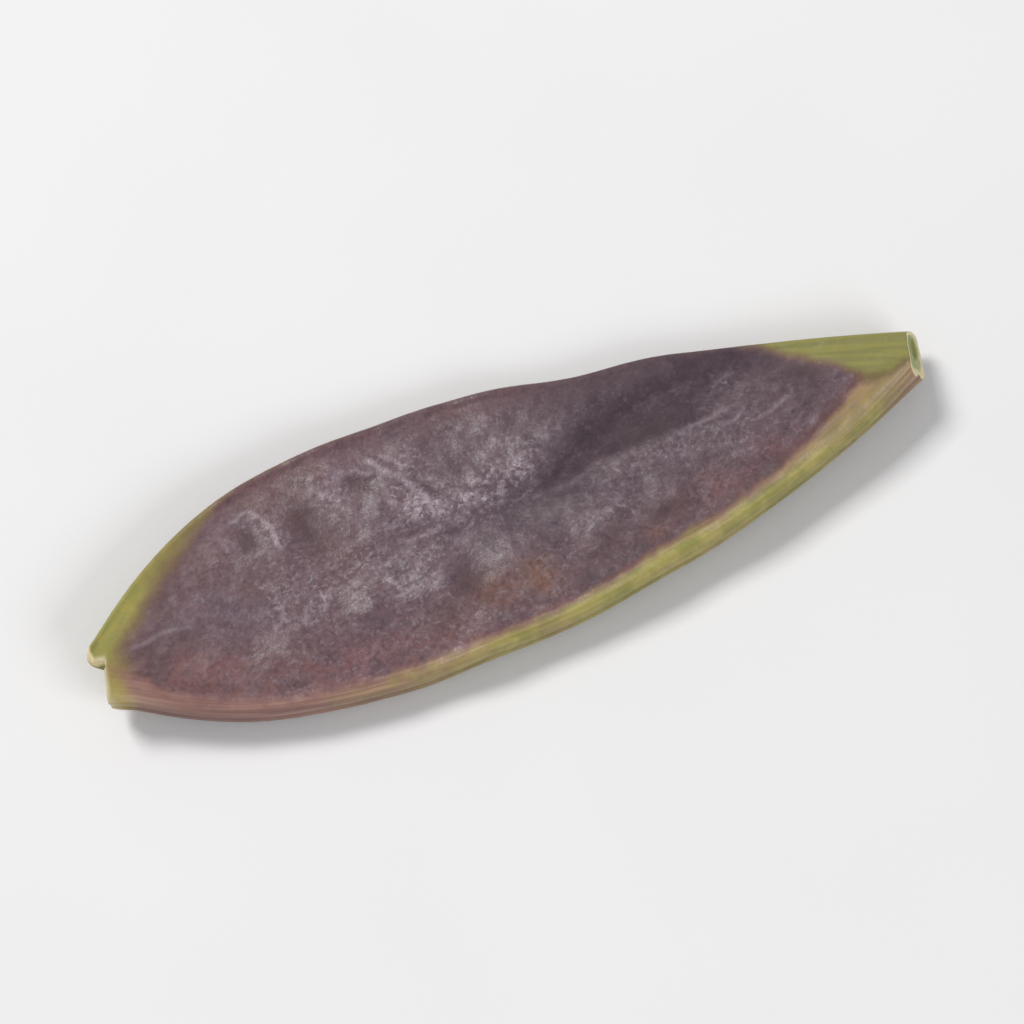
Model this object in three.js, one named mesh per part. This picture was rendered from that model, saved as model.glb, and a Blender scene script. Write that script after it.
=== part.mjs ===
// A purple snow pea pod (mangetout), topped and tailed, lying on its side. Millimetres, +Z up.
//
// +X runs along the pod, from the trimmed flower end to the trimmed stem end. The ventral suture, the thick
// grooved seam that carries the peas, is the edge towards -Y. The dorsal suture, a thin ridge, is the edge
// towards +Y. The pod grew as one piece, so it is one closed solid: a flat lens whose section changes along
// its length, with the swellings of young peas, a crease in the upper wall, and a slit between the two
// walls that stands open at each cut end.
//
// The surface is a sleeve of rings. Each ring goes round one section, from the ventral groove over the
// upper wall to the dorsal ridge, and back under the lower wall. At each end the sleeve turns in over the
// cut face and runs down into the slit.
import * as THREE from "three";

// ---------------------------------------------------------------- Driving dimensions
const POD_LENGTH = 72; // between the two cuts, along the chord

// How far each edge stands off the chord: most at its peak, and less by a power law towards either end.
// Places and reaches are shares of the pod's length.
const VENTRAL_EDGE = {
  height: 11.65,
  peakAt: 0.38,
  tip: { reach: 0.453, power: 2.65 },
  stem: { reach: 0.674, power: 2.08 },
};
const DORSAL_EDGE = {
  height: 10.45,
  peakAt: 0.41,
  tip: { reach: 0.41, power: 2.75 },
  stem: { reach: 0.675, power: 1.85 },
};
const DORSAL_WAIST = { depth: 0.45, at: 0.63, width: 0.055 }; // where the dorsal edge draws in a little
const EDGE_RIPPLE = 0.06; // how far a real edge wanders off its curve

// Half thicknesses, from the pod's middle surface to the skin.
const BELLY_HALF = 1.95; // at the middle of the pod
const TIP_HALF = 1.05; // at the flower end
const STEM_HALF = 1.3; // at the stem end, which is rounder
const VENTRAL_WALL_HALF = 0.95; // beside the ventral suture
const DORSAL_WALL_HALF = 0.6; // beside the dorsal suture
const BELLY_FLATNESS = 2.3; // power of the fall from the belly to the edges
const PLUMP_POWER = 2.6; // of the fall from the belly to the ends

// Sutures: each wall has a raised lip, a dip behind it, and a rounded edge. at and dipAt are distances
// from the edge.
const VENTRAL_LIP = { rise: 0.3, at: 0.75, width: 0.5, dip: 0.16, dipAt: 2, dipWidth: 0.7, round: 0.55 };
const DORSAL_LIP = { rise: 0.16, at: 0.45, width: 0.35, dip: 0.07, dipAt: 1.4, dipWidth: 0.5, round: 0.38 };
const NO_DIP_UNDER = 3.5; // a section narrower than this has no dips
const FULL_DIP_OVER = 10; // and one wider than this has them in full
const GROOVE_DEPTH = 0.34; // of the seam between the two ventral lips
const GROOVE_HALF = 0.34;
const RELIEF_FROM = 0.6; // relief of the walls stays this far off the sutures
const RELIEF_FULL = 3.2; // and is whole from here in

// Young peas hang from the ventral suture and push both walls out.
const PEA_COUNT = 9;
const PEA_FIRST_AT = 0.12;
const PEA_LAST_AT = 0.87;
const PEA_ACROSS = -0.46; // from -1 at the ventral edge to 1 at the dorsal edge
const PEA_RADIUS = 2.5;
const PEA_RISE = 0.42;
const PEA_RISE_BELOW = 0.12; // the lower wall lies on the surface, which holds its peas up
const END_PEA_SIZE = 0.62; // the peas at the ends are smaller

// Creases: a shallow valley in each wall, which swings across it from one height over the chord to
// another. Places along the pod are shares of its length, and a valley fades at both of its ends.
const UPPER_CREASE = {
  from: 0.46,
  to: 0.84,
  swing: 0.28,
  startY: -1.2,
  endY: 4.4,
  depth: 0.55,
  width: 1.6,
  fade: 0.12,
};
const LOWER_CREASE = {
  from: 0.14,
  to: 0.4,
  swing: 0.2,
  startY: 4.6,
  endY: 1.8,
  depth: 0.3,
  width: 1.4,
  fade: 0.1,
};

// The middle surface isn't flat: both ends lift, the pod twists a little, and its edges wave.
const LOWEST_AT = 0.45;
const TIP_LIFT = 1.5;
const STEM_LIFT = 1.3;
const TIP_LIFT_POWER = 2.2;
const STEM_LIFT_POWER = 2.4;
const TWIST = -1.5;
const LONG_WAVE = { height: 0.13, length: 13.5, skew: 0.3 };
const SHORT_WAVE = { height: 0.07, length: 7.7, skew: -0.5 };
const REST_PRESS = 0.2; // how far the lowest spot is pressed flat by the surface that it lies on

// Cut ends. At the tip, the string of the dorsal seam stands proud as a nub, with a notch beside it. The
// bevel turns each cut a little upwards, and the fade is the share of the length that a cut draws with it.
const TIP_CUT = { nub: 0.3, notch: 0.95, notchAt: 1.1, corner: 0.25, bevel: 0.12, fade: 0.08 };
const STEM_CUT = { lean: 0.22, bevel: 0.5, fade: 0.1 };

// Slits: shares of the cut face between its ventral and dorsal corners, half thickness, and depth.
const TIP_SLIT = { from: 0.28, to: 0.8, half: 0.2, depth: 3.2 };
const STEM_SLIT = { from: 0.42, to: 0.86, half: 0.48, depth: 4.2 };
const SLIT_END_HALF = 0.06; // the walls nearly meet at the bottom of a slit

// ---------------------------------------------------------------- Fineness
const SECTIONS = 84; // gaps between stations along the pod
const END_CROWDING = 0.45; // how far stations crowd towards the ends, from 0 to 1
const VENTRAL_STEPS = 5; // round the ventral half edge
const DORSAL_STEPS = 3; // round the dorsal half edge
const WALL_STEPS = 15; // across one wall
const EDGE_CROWDING = 0.6; // how far these steps crowd towards the sutures

const PER_WALL = VENTRAL_STEPS + WALL_STEPS + 1 + DORSAL_STEPS;
const AROUND = 2 * PER_WALL - 2;

// ---------------------------------------------------------------- Small helpers
const { lerp, clamp, smoothstep } = THREE.MathUtils;
const bell = (x, at, width) => Math.exp(-(((x - at) / width) ** 2));
const scatter = (i) => ((i * 0.618034) % 1) - 0.5; // spreads whole numbers evenly between -0.5 and 0.5
const crowd = (t, amount) => lerp(t, (1 - Math.cos(Math.PI * t)) / 2, amount);

// ---------------------------------------------------------------- Outline
function edgeHeight(edge, s) {
  const side = s < edge.peakAt ? edge.tip : edge.stem;
  return edge.height * (1 - (Math.abs(s - edge.peakAt) / side.reach) ** side.power);
}

function ventralY(s) {
  const ripple = EDGE_RIPPLE * Math.sin(31 * s + 0.6) * Math.sin(Math.PI * s);
  return ripple - edgeHeight(VENTRAL_EDGE, s);
}

function dorsalY(s) {
  const ripple = EDGE_RIPPLE * Math.sin(26 * s + 2.1) * Math.sin(Math.PI * s);
  const waist = DORSAL_WAIST.depth * bell(s, DORSAL_WAIST.at, DORSAL_WAIST.width);
  return ripple + edgeHeight(DORSAL_EDGE, s) - waist;
}

// ---------------------------------------------------------------- Relief of the walls
function makePea(i) {
  const t = i / (PEA_COUNT - 1);
  const s = lerp(PEA_FIRST_AT, PEA_LAST_AT, t) + 0.02 * scatter(i + 1);
  const across = PEA_ACROSS + 0.12 * scatter(3 * i + 2);
  const size = lerp(END_PEA_SIZE, 1, Math.sin(Math.PI * t));
  return {
    x: s * POD_LENGTH,
    y: lerp(ventralY(s), dorsalY(s), (across + 1) / 2),
    radius: PEA_RADIUS * size,
    swell: size * (1 + 0.5 * scatter(5 * i + 1)),
  };
}

const PEAS = Array.from({ length: PEA_COUNT }, (_, i) => makePea(i));

function peaRelief(x, y) {
  const relief = (pea) => pea.swell * bell(Math.hypot(x - pea.x, y - pea.y), 0, pea.radius);
  return PEAS.reduce((sum, pea) => sum + relief(pea), 0);
}

function creaseRelief(crease, s, y) {
  const valleyY = lerp(crease.startY, crease.endY, smoothstep(s, crease.from, crease.from + crease.swing));
  const starts = smoothstep(s, crease.from - crease.fade, crease.from + crease.fade);
  const ends = smoothstep(s, crease.to - crease.fade, crease.to + crease.fade);
  return -crease.depth * starts * (1 - ends) * bell(y, valleyY, crease.width);
}

function lipRelief(lip, fromEdge, width) {
  const dip = lip.dip * smoothstep(width, NO_DIP_UNDER, FULL_DIP_OVER);
  return lip.rise * bell(fromEdge, lip.at, lip.width) - dip * bell(fromEdge, lip.dipAt, lip.dipWidth);
}

// ---------------------------------------------------------------- Thickness and bend
// Half thickness of one wall at a distance from the ventral edge, before the edges are rounded.
function wallHalf(s, fromVentral, upper) {
  const width = dorsalY(s) - ventralY(s);
  const fromDorsal = width - fromVentral;
  const across = (2 * fromVentral) / width - 1;
  const plump = 1 - Math.abs(2 * s - 1) ** PLUMP_POWER;
  const belly = lerp(lerp(TIP_HALF, STEM_HALF, s), BELLY_HALF, plump);
  const beside = lerp(VENTRAL_WALL_HALF, DORSAL_WALL_HALF, (across + 1) / 2);
  const y = ventralY(s) + fromVentral;
  const peas = peaRelief(s * POD_LENGTH, y) * (upper ? PEA_RISE : PEA_RISE_BELOW);
  const crease = creaseRelief(upper ? UPPER_CREASE : LOWER_CREASE, s, y);
  return (
    beside +
    (belly - beside) * (1 - Math.abs(across) ** BELLY_FLATNESS) +
    smoothstep(Math.min(fromVentral, fromDorsal), RELIEF_FROM, RELIEF_FULL) * (peas + crease) +
    lipRelief(VENTRAL_LIP, fromVentral, width) +
    lipRelief(DORSAL_LIP, fromDorsal, width)
  );
}

// Height of the middle surface, which the two walls stand off.
function middleZ(s, y) {
  const toTip = clamp((LOWEST_AT - s) / LOWEST_AT, 0, 1);
  const toStem = clamp((s - LOWEST_AT) / (1 - LOWEST_AT), 0, 1);
  const lift = TIP_LIFT * toTip ** TIP_LIFT_POWER + STEM_LIFT * toStem ** STEM_LIFT_POWER;
  const wave = ({ height, length, skew }) =>
    height * Math.sin((2 * Math.PI * s * POD_LENGTH) / length + skew * y);
  const waves = (wave(LONG_WAVE) + wave(SHORT_WAVE)) * Math.sin(Math.PI * s);
  return lift + (TWIST * (s - 0.5) + waves) * (y / DORSAL_EDGE.height);
}

// ---------------------------------------------------------------- Cut ends
// How far along X the tip's cut stands, at a distance from its dorsal corner.
function tipCutX(fromDorsal, width) {
  const face = clamp((fromDorsal - TIP_CUT.notchAt) / (width - TIP_CUT.notchAt), 0, 1);
  const intoNotch = smoothstep(fromDorsal, 0.25, TIP_CUT.notchAt);
  return lerp(-TIP_CUT.nub, lerp(TIP_CUT.notch, TIP_CUT.corner, face), intoNotch);
}

// Where a point of the sleeve stands along X: the sections near each end lean over to lie along its cut.
function trimmedX(s, y, z) {
  const nearTip = clamp(1 - s / TIP_CUT.fade, 0, 1) ** 2;
  const nearStem = clamp(1 - (1 - s) / STEM_CUT.fade, 0, 1) ** 2;
  const tip = tipCutX(dorsalY(s) - y, dorsalY(s) - ventralY(s)) - TIP_CUT.bevel * z;
  const stem = STEM_CUT.lean * y - STEM_CUT.bevel * z;
  return s * POD_LENGTH + nearTip * tip + nearStem * stem;
}

// ---------------------------------------------------------------- Rings
// One wall of a section, from the ventral groove to the dorsal ridge, as pairs of y and half thickness.
function wallPoints(s, upper) {
  const edgeY = ventralY(s);
  const width = dorsalY(s) - edgeY;
  const roundV = Math.min(VENTRAL_LIP.round, 0.2 * width);
  const roundD = Math.min(DORSAL_LIP.round, 0.15 * width);
  const points = [];
  for (let i = 0; i < VENTRAL_STEPS; i++) {
    const angle = ((i / VENTRAL_STEPS) * Math.PI) / 2;
    const z = wallHalf(s, roundV, upper) * Math.sin(angle) ** 0.85;
    points.push([edgeY + roundV * (1 - Math.cos(angle)) + GROOVE_DEPTH * bell(z, 0, GROOVE_HALF), z]);
  }
  for (let i = 0; i <= WALL_STEPS; i++) {
    const fromVentral = lerp(roundV, width - roundD, crowd(i / WALL_STEPS, EDGE_CROWDING));
    points.push([edgeY + fromVentral, wallHalf(s, fromVentral, upper)]);
  }
  for (let i = DORSAL_STEPS - 1; i >= 0; i--) {
    const angle = ((i / DORSAL_STEPS) * Math.PI) / 2;
    const z = wallHalf(s, width - roundD, upper) * Math.sin(angle);
    points.push([edgeY + width - roundD * (1 - Math.cos(angle)), z]);
  }
  return points;
}

// A whole section: over the upper wall, then back under the lower wall.
function sectionRing(s) {
  const place = (y, z) => new THREE.Vector3(trimmedX(s, y, z), y, middleZ(s, y) + z);
  const upper = wallPoints(s, true).map(([y, z]) => place(y, z));
  const lower = wallPoints(s, false).map(([y, z]) => place(y, -z));
  return [...upper, ...lower.slice(1, -1).reverse()];
}

// A ring in a slit: a thin lens, at a depth behind the cut at the end that s names.
function slitRing(s, slit, half, depth) {
  const low = lerp(ventralY(s), dorsalY(s), slit.from);
  const high = lerp(ventralY(s), dorsalY(s), slit.to);
  return Array.from({ length: AROUND }, (_, i) => {
    const angle = (i / (PER_WALL - 1)) * Math.PI;
    const y = lerp(low, high, (1 - Math.cos(angle)) / 2);
    const z = half * Math.sin(angle);
    return new THREE.Vector3(trimmedX(s, y, z) + (1 - 2 * s) * depth, y, middleZ(s, y) + z);
  });
}

// ---------------------------------------------------------------- The sleeve as one closed mesh
function sleeveRings() {
  const sections = Array.from({ length: SECTIONS + 1 }, (_, i) => crowd(i / SECTIONS, END_CROWDING));
  return [
    slitRing(0, TIP_SLIT, SLIT_END_HALF, TIP_SLIT.depth),
    slitRing(0, TIP_SLIT, TIP_SLIT.half, 0),
    ...sections.map(sectionRing),
    slitRing(1, STEM_SLIT, STEM_SLIT.half, 0),
    slitRing(1, STEM_SLIT, SLIT_END_HALF, STEM_SLIT.depth),
  ];
}

function middleOf(ring) {
  return ring.reduce((sum, point) => sum.add(point), new THREE.Vector3()).divideScalar(ring.length);
}

// Two triangles for each step round each gap between rings, and a fan at the bottom of each slit.
function sleeveFaces(ringCount) {
  const faces = [];
  for (let ring = 0; ring + 1 < ringCount; ring++) {
    for (let i = 0; i < AROUND; i++) {
      const here = ring * AROUND + i;
      const beside = ring * AROUND + ((i + 1) % AROUND);
      faces.push(here, here + AROUND, beside);
      faces.push(beside, here + AROUND, beside + AROUND);
    }
  }
  const last = (ringCount - 1) * AROUND;
  const tipMiddle = ringCount * AROUND;
  const stemMiddle = tipMiddle + 1;
  for (let i = 0; i < AROUND; i++) {
    const next = (i + 1) % AROUND;
    faces.push(tipMiddle, i, next);
    faces.push(stemMiddle, last + next, last + i);
  }
  return faces;
}

function buildSleeve() {
  const rings = sleeveRings();
  const points = [...rings.flat(), middleOf(rings[0]), middleOf(rings.at(-1))];
  const geometry = new THREE.BufferGeometry().setFromPoints(points);
  geometry.setIndex(sleeveFaces(rings.length));
  return geometry;
}

// Sets the pod on the surface: its lowest spot is pressed flat at z = 0, and the origin is under the
// middle of its box.
function setDown(geometry) {
  geometry.computeBoundingBox();
  const { min, max } = geometry.boundingBox;
  geometry.translate(-(min.x + max.x) / 2, -(min.y + max.y) / 2, -min.z - REST_PRESS);
  const position = geometry.getAttribute("position");
  for (let i = 0; i < position.count; i++) {
    position.setZ(i, Math.max(0, position.getZ(i)));
  }
  geometry.computeVertexNormals();
  return geometry;
}

// ---------------------------------------------------------------- Material and part
function skinMaterial() {
  return new THREE.MeshStandardMaterial({ color: 0x69565f, roughness: 0.5, metalness: 0 });
}

const pod = new THREE.Mesh(setDown(buildSleeve()), skinMaterial());
pod.name = "pod";

const snowPeaPod = new THREE.Group();
snowPeaPod.add(pod);

export default snowPeaPod;
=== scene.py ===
"""A purple snow pea pod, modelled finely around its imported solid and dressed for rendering.

Along the pod, s runs from 0 at the trimmed flower end, the tip, to 1 at the trimmed stem end. Across it, y
runs from the ventral suture, the thick grooved seam towards -Y, to the dorsal suture, the thin ridge towards
+Y. Lengths are millimetres while the shape is worked out, and metres in the scene.
"""

import logging
import math
from collections.abc import Sequence
from dataclasses import dataclass
from enum import Enum
from functools import reduce
from typing import Any

import bpy
import numpy as np
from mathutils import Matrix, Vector


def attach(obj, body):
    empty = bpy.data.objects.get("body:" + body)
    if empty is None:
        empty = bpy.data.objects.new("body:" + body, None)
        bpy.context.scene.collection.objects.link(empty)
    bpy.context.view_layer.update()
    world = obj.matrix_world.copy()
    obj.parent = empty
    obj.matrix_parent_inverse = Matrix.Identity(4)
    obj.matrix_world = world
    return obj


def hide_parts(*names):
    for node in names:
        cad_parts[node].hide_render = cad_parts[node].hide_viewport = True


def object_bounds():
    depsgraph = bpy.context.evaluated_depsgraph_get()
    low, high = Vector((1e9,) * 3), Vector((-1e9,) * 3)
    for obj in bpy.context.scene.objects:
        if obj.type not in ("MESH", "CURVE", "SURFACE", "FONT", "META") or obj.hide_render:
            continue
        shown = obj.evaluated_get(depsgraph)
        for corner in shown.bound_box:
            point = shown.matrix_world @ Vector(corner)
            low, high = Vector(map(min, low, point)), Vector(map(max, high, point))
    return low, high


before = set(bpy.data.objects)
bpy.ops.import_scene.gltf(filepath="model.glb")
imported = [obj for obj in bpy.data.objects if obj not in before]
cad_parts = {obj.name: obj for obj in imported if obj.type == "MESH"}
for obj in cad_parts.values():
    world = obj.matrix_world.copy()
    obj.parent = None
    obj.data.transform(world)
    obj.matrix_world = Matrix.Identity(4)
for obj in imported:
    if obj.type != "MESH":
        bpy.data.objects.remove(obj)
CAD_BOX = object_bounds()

log = logging.getLogger("snow_pea_pod")

METRES = 0.001  # metres in a millimetre
LENGTH = 72.0  # millimetres between the cuts
GOLDEN = 0.618034  # steps of this share of a turn never crowd
SEED = 7
BODY = "root"
NODE = "pod"

Array = np.ndarray
Number = Array | float
Span = tuple[float, float]
Stations = tuple[Span, ...]
Term = tuple[str, float, float]
Colour = tuple[float, float, float, float]


# ---- Helpers
def lerp(a: Number, b: Number, t: Number) -> Number:
    """Returns what lies a share t of the way from a to b."""
    return a + (b - a) * t


def unit(x: Number) -> Array:
    """Returns the nearest value from 0 to 1."""
    return np.clip(x, 0.0, 1.0)


def ramp(x: Number, start: Number, end: Number) -> Array:
    """Eases from 0 at start to 1 at end, which may lie on either side of it."""
    t = unit((x - start) / (end - start))
    return t * t * (3.0 - 2.0 * t)


def bell(x: Number, at: Number, width: float) -> Array:
    """Returns a smooth bump that is 1 at its place and falls away over its width."""
    return np.exp(-(((x - at) / width) ** 2))


def along(stations: Stations, s: Array) -> Array:
    """Returns the value at s on the line through stations of (s, value)."""
    return np.interp(s, *zip(*stations))


def spread(i: int) -> float:
    """Returns a number between -0.5 and 0.5 that spreads whole numbers evenly."""
    return (i * GOLDEN) % 1.0 - 0.5


def crowd(t: Array, amount: float) -> Array:
    """Crowds even steps from 0 to 1 towards both ends, by an amount from none at 0 to a cosine's at 1."""
    return lerp(t, (1.0 - np.cos(math.pi * t)) / 2.0, amount)


def srgb(red: int, green: int, blue: int) -> Colour:
    """Turns a screen colour, 0 to 255 and not near black, into the linear colour that shaders take."""
    linear = [((channel / 255.0 + 0.055) / 1.055) ** 2.4 for channel in (red, green, blue)]
    return (*linear, 1.0)


def added(name: str, data: bpy.types.ID) -> bpy.types.Object:
    """Adds an object to the scene.

    Args:
        name: Its name.
        data: Its mesh, light or camera.

    Returns:
        The object.
    """
    made = bpy.data.objects.new(name, data)
    bpy.context.scene.collection.objects.link(made)
    return made


class Grain:
    """Smooth random relief: gradient noise on a lattice, the same in every run."""

    period = 256  # cells before it repeats
    gain = 1.6  # brings its peaks to about 1

    def __init__(self, seed: int) -> None:
        """Draws the lattice.

        Args:
            seed: Which lattice to draw.
        """
        draw = np.random.default_rng(seed)
        self.order = draw.permutation(self.period)
        slopes = draw.normal(size=(self.period, 3))
        self.slopes = slopes / np.linalg.norm(slopes, axis=1, keepdims=True)

    def at(self, x: Array, y: Array, z: Number) -> Array:
        """Samples the noise.

        Args:
            x: First coordinate, in lattice cells.
            y: Second coordinate.
            z: Third coordinate.

        Returns:
            Noise between about -1 and 1.
        """
        point = np.stack(np.broadcast_arrays(x, y, z), axis=-1).astype(float)
        cell = np.floor(point).astype(int)
        inside = point - cell
        ease = inside**3 * (inside * (inside * 6.0 - 15.0) + 10.0)
        total = np.zeros(point.shape[:-1])
        for corner in np.ndindex(2, 2, 2):
            hashed = np.zeros_like(cell[..., 0])
            for axis in range(3):
                hashed = self.order[(hashed + cell[..., axis] + corner[axis]) % self.period]
            slope = np.sum(self.slopes[hashed] * (inside - corner), axis=-1)
            total += slope * np.prod(np.where(corner, ease, 1.0 - ease), axis=-1)
        return self.gain * total


# ---- Form of the pod
class Wall(Enum):
    """The two walls of the pod, as it lies."""

    UPPER = 1
    LOWER = -1


@dataclass(frozen=True)
class Points:
    """Points of one wall: s and x along the pod, y across it, and how far they are from its edges."""

    wall: Wall
    s: Array
    x: Array
    y: Array
    width: Array
    ventral: Array
    dorsal: Array

    @property
    def upper(self) -> bool:
        """Whether they are on the upper wall."""
        return self.wall is Wall.UPPER


@dataclass(frozen=True)
class EdgeCurve:
    """How far one edge of the pod stands off the chord, by a power law to each side of its peak."""

    height: float
    peak_at: float
    tip_reach: float
    tip_power: float
    stem_reach: float
    stem_power: float
    ripple_rate: float
    ripple_phase: float
    waist_depth: float = 0.0
    waist_at: float = 0.63
    waist_width: float = 0.055
    ripple: float = 0.06
    corner: float = 0.0
    corner_width: float = 0.02

    def at(self, s: Array) -> Array:
        """Works out how far the edge stands off.

        Args:
            s: Places along the pod.

        Returns:
            Its distance from the chord there.
        """
        to_tip = s < self.peak_at
        reach = np.where(to_tip, self.tip_reach, self.stem_reach)
        power = np.where(to_tip, self.tip_power, self.stem_power)
        curve = self.height * (1.0 - (np.abs(s - self.peak_at) / reach) ** power)
        waist = self.waist_depth * bell(s, self.waist_at, self.waist_width)
        ripple = self.ripple * np.sin(self.ripple_rate * s + self.ripple_phase) * np.sin(math.pi * s)
        return curve - waist + ripple + self.corner * bell(s, 0.0, self.corner_width)


@dataclass(frozen=True)
class Lip:
    """The raised lip of a suture on one wall, with the dip behind it and the rounded edge."""

    rise: float
    at: float
    width: float
    dip: float
    dip_at: float
    dip_width: float
    round: float
    round_share: float
    dip_grows: Span = (3.5, 10.0)

    def relief(self, from_edge: Array, pod_width: Array) -> Array:
        """Returns the lip's height at a distance from the edge, where the pod is pod_width across."""
        dip = self.dip * ramp(pod_width, *self.dip_grows) * bell(from_edge, self.dip_at, self.dip_width)
        return self.rise * bell(from_edge, self.at, self.width) - dip

    def rounding(self, pod_width: Array) -> Array:
        """Returns the radius of the rounded edge, where the pod is pod_width across."""
        return np.minimum(self.round, self.round_share * pod_width)


@dataclass(frozen=True)
class Crease:
    """A shallow valley that swings across a wall, with a crisp fold along its floor."""

    starts: Span
    ends: Span
    swings: Span
    y: Span
    depth: float
    width: float
    floor_starts: Span = (0.4, 0.58)
    floor_ends: Span = (0.78, 0.66)
    floor_width: float = 0.4
    floor_wander: float = 0.2
    floor_rate: float = 90.0

    def path(self, s: Array) -> Array:
        """Returns the y of its deepest line at s."""
        return lerp(*self.y, ramp(s, *self.swings))

    def share(self, s: Array, y: Array) -> Array:
        """Returns how deep in the valley a point lies, from 0 outside it to 1 on its floor."""
        return ramp(s, *self.starts) * ramp(s, *self.ends) * bell(y, self.path(s), self.width)

    def floor(self, s: Array, y: Array) -> Array:
        """Returns 1 on the crisp fold along the valley's floor, easing to 0 beside it."""
        off = y - self.path(s) - self.floor_wander * np.sin(self.floor_rate * s)
        return ramp(s, *self.floor_starts) * ramp(s, *self.floor_ends) * bell(off, 0.0, self.floor_width)


@dataclass(frozen=True)
class Slit:
    """The gap between the walls, open at a cut end: shares of the cut's height, half width and depth."""

    low: float
    high: float
    half: float
    depth: float
    end_half: float = 0.06


@dataclass(frozen=True)
class PodForm:
    """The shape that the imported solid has, as formulas. A half is half a thickness."""

    ventral: EdgeCurve = EdgeCurve(11.65, 0.38, 0.453, 2.65, 0.674, 2.08, 31.0, 0.6 + math.pi, corner=0.5)
    dorsal: EdgeCurve = EdgeCurve(10.45, 0.41, 0.41, 2.75, 0.675, 1.85, 26.0, 2.1, waist_depth=0.45)
    belly_half: float = 1.95
    tip_half: float = 1.05
    stem_half: float = 1.3
    ventral_wall_half: float = 0.95
    dorsal_wall_half: float = 0.6
    belly_flatness: float = 2.3
    plump_power: float = 2.6
    ventral_lip: Lip = Lip(0.3, 0.75, 0.5, 0.16, 2.0, 0.7, 0.55, 0.2)
    dorsal_lip: Lip = Lip(0.16, 0.45, 0.35, 0.07, 1.4, 0.5, 0.38, 0.15)
    tip_round: float = 0.2
    seam_half: float = 0.6
    open_from: float = 3.2
    groove_depth: float = 0.34
    groove_half: float = 0.34
    pea_count: int = 9
    peas_at: Span = (0.12, 0.87)
    pea_across: float = -0.46
    pea_radius: float = 2.5
    pea_rise: float = 0.42
    pea_rise_below: float = 0.12
    end_pea_size: float = 0.62
    pea_strays: tuple[float, float, float] = (0.02, 0.12, 0.5)
    upper_crease: Crease = Crease((0.34, 0.58), (0.96, 0.72), (0.46, 0.74), (-1.2, 4.4), 0.55, 1.6)
    lower_crease: Crease = Crease((0.04, 0.24), (0.5, 0.3), (0.14, 0.34), (4.6, 1.8), 0.3, 1.4)
    lowest_at: float = 0.45
    tip_lift: float = 1.5
    stem_lift: float = 1.3
    tip_lift_power: float = 2.2
    stem_lift_power: float = 2.4
    twist: float = -1.5
    waves: tuple[tuple[float, float, float], ...] = ((0.13, 13.5, 0.3), (0.07, 7.7, -0.5))
    set_down: tuple[float, float, float] = (-36.269844, 0.571537, 1.821577)
    tip_fade: float = 0.08
    stem_fade: float = 0.1
    tip_lean: float = 0.12
    stem_slant: float = 0.22
    stem_lean: float = 0.5
    nub_x: float = -0.3
    nub_ends: Span = (0.25, 1.1)
    tip_face_x: Span = (0.95, 0.08)
    tip_slit: Slit = Slit(0.24, 0.66, 0.2, 3.2)
    stem_slit: Slit = Slit(0.42, 0.86, 0.48, 4.2)

    def ventral_y(self, s: Array) -> Array:
        """Returns the ventral edge's y at s."""
        return -self.ventral.at(s)

    def dorsal_y(self, s: Array) -> Array:
        """Returns the dorsal edge's y at s."""
        return self.dorsal.at(s)

    def width(self, s: Array) -> Array:
        """Returns how far apart the two edges are at s."""
        return self.dorsal_y(s) - self.ventral_y(s)

    def points(self, s: Array, from_ventral: Array, wall: Wall) -> Points:
        """Places points on a wall.

        Args:
            s: Stations along the pod, as a column.
            from_ventral: Distances from the ventral edge, one row for each station.
            wall: Which wall.

        Returns:
            The points.
        """
        s = s + np.zeros_like(from_ventral)
        width = self.width(s)
        y = self.ventral_y(s) + from_ventral
        return Points(wall, s, s * LENGTH, y, width, from_ventral, width - from_ventral)

    def pea_share(self, p: Points) -> Array:
        """Works out the swelling of the young peas, which stray a little in place and size.

        Args:
            p: Points of a wall.

        Returns:
            How much of a full pea's swelling each point has.
        """
        total = np.zeros_like(p.x)
        stray_along, stray_across, stray_swell = self.pea_strays
        for i in range(self.pea_count):
            t = i / (self.pea_count - 1)
            s = lerp(*self.peas_at, t) + stray_along * spread(i + 1)
            across = (self.pea_across + stray_across * spread(3 * i + 2) + 1.0) / 2.0
            size = lerp(self.end_pea_size, 1.0, math.sin(math.pi * t))
            off = np.hypot(p.x - s * LENGTH, p.y - lerp(self.ventral_y(s), self.dorsal_y(s), across))
            total += size * (1.0 + stray_swell * spread(5 * i + 1)) * bell(off, 0.0, self.pea_radius * size)
        return total

    def inside(self, p: Points) -> Array:
        """Returns 0 on the sutures, easing to 1 on the open wall."""
        return ramp(np.minimum(p.ventral, p.dorsal), self.seam_half, self.open_from)

    def wall_half(self, p: Points) -> Array:
        """Works out how far a wall stands from the middle surface, before its edges are rounded.

        Args:
            p: Points of the wall.

        Returns:
            The distance at each.
        """
        across = 2.0 * p.ventral / p.width - 1.0
        plump = 1.0 - np.abs(2.0 * p.s - 1.0) ** self.plump_power
        belly = lerp(lerp(self.tip_half, self.stem_half, p.s), self.belly_half, plump)
        beside = lerp(self.ventral_wall_half, self.dorsal_wall_half, (across + 1.0) / 2.0)
        crease = self.upper_crease if p.upper else self.lower_crease
        rise = self.pea_rise if p.upper else self.pea_rise_below
        relief = rise * self.pea_share(p) - crease.depth * crease.share(p.s, p.y)
        lips = self.ventral_lip.relief(p.ventral, p.width) + self.dorsal_lip.relief(p.dorsal, p.width)
        middle = 1.0 - np.abs(across) ** self.belly_flatness
        return lerp(beside, belly, middle) + self.inside(p) * relief + lips

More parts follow.
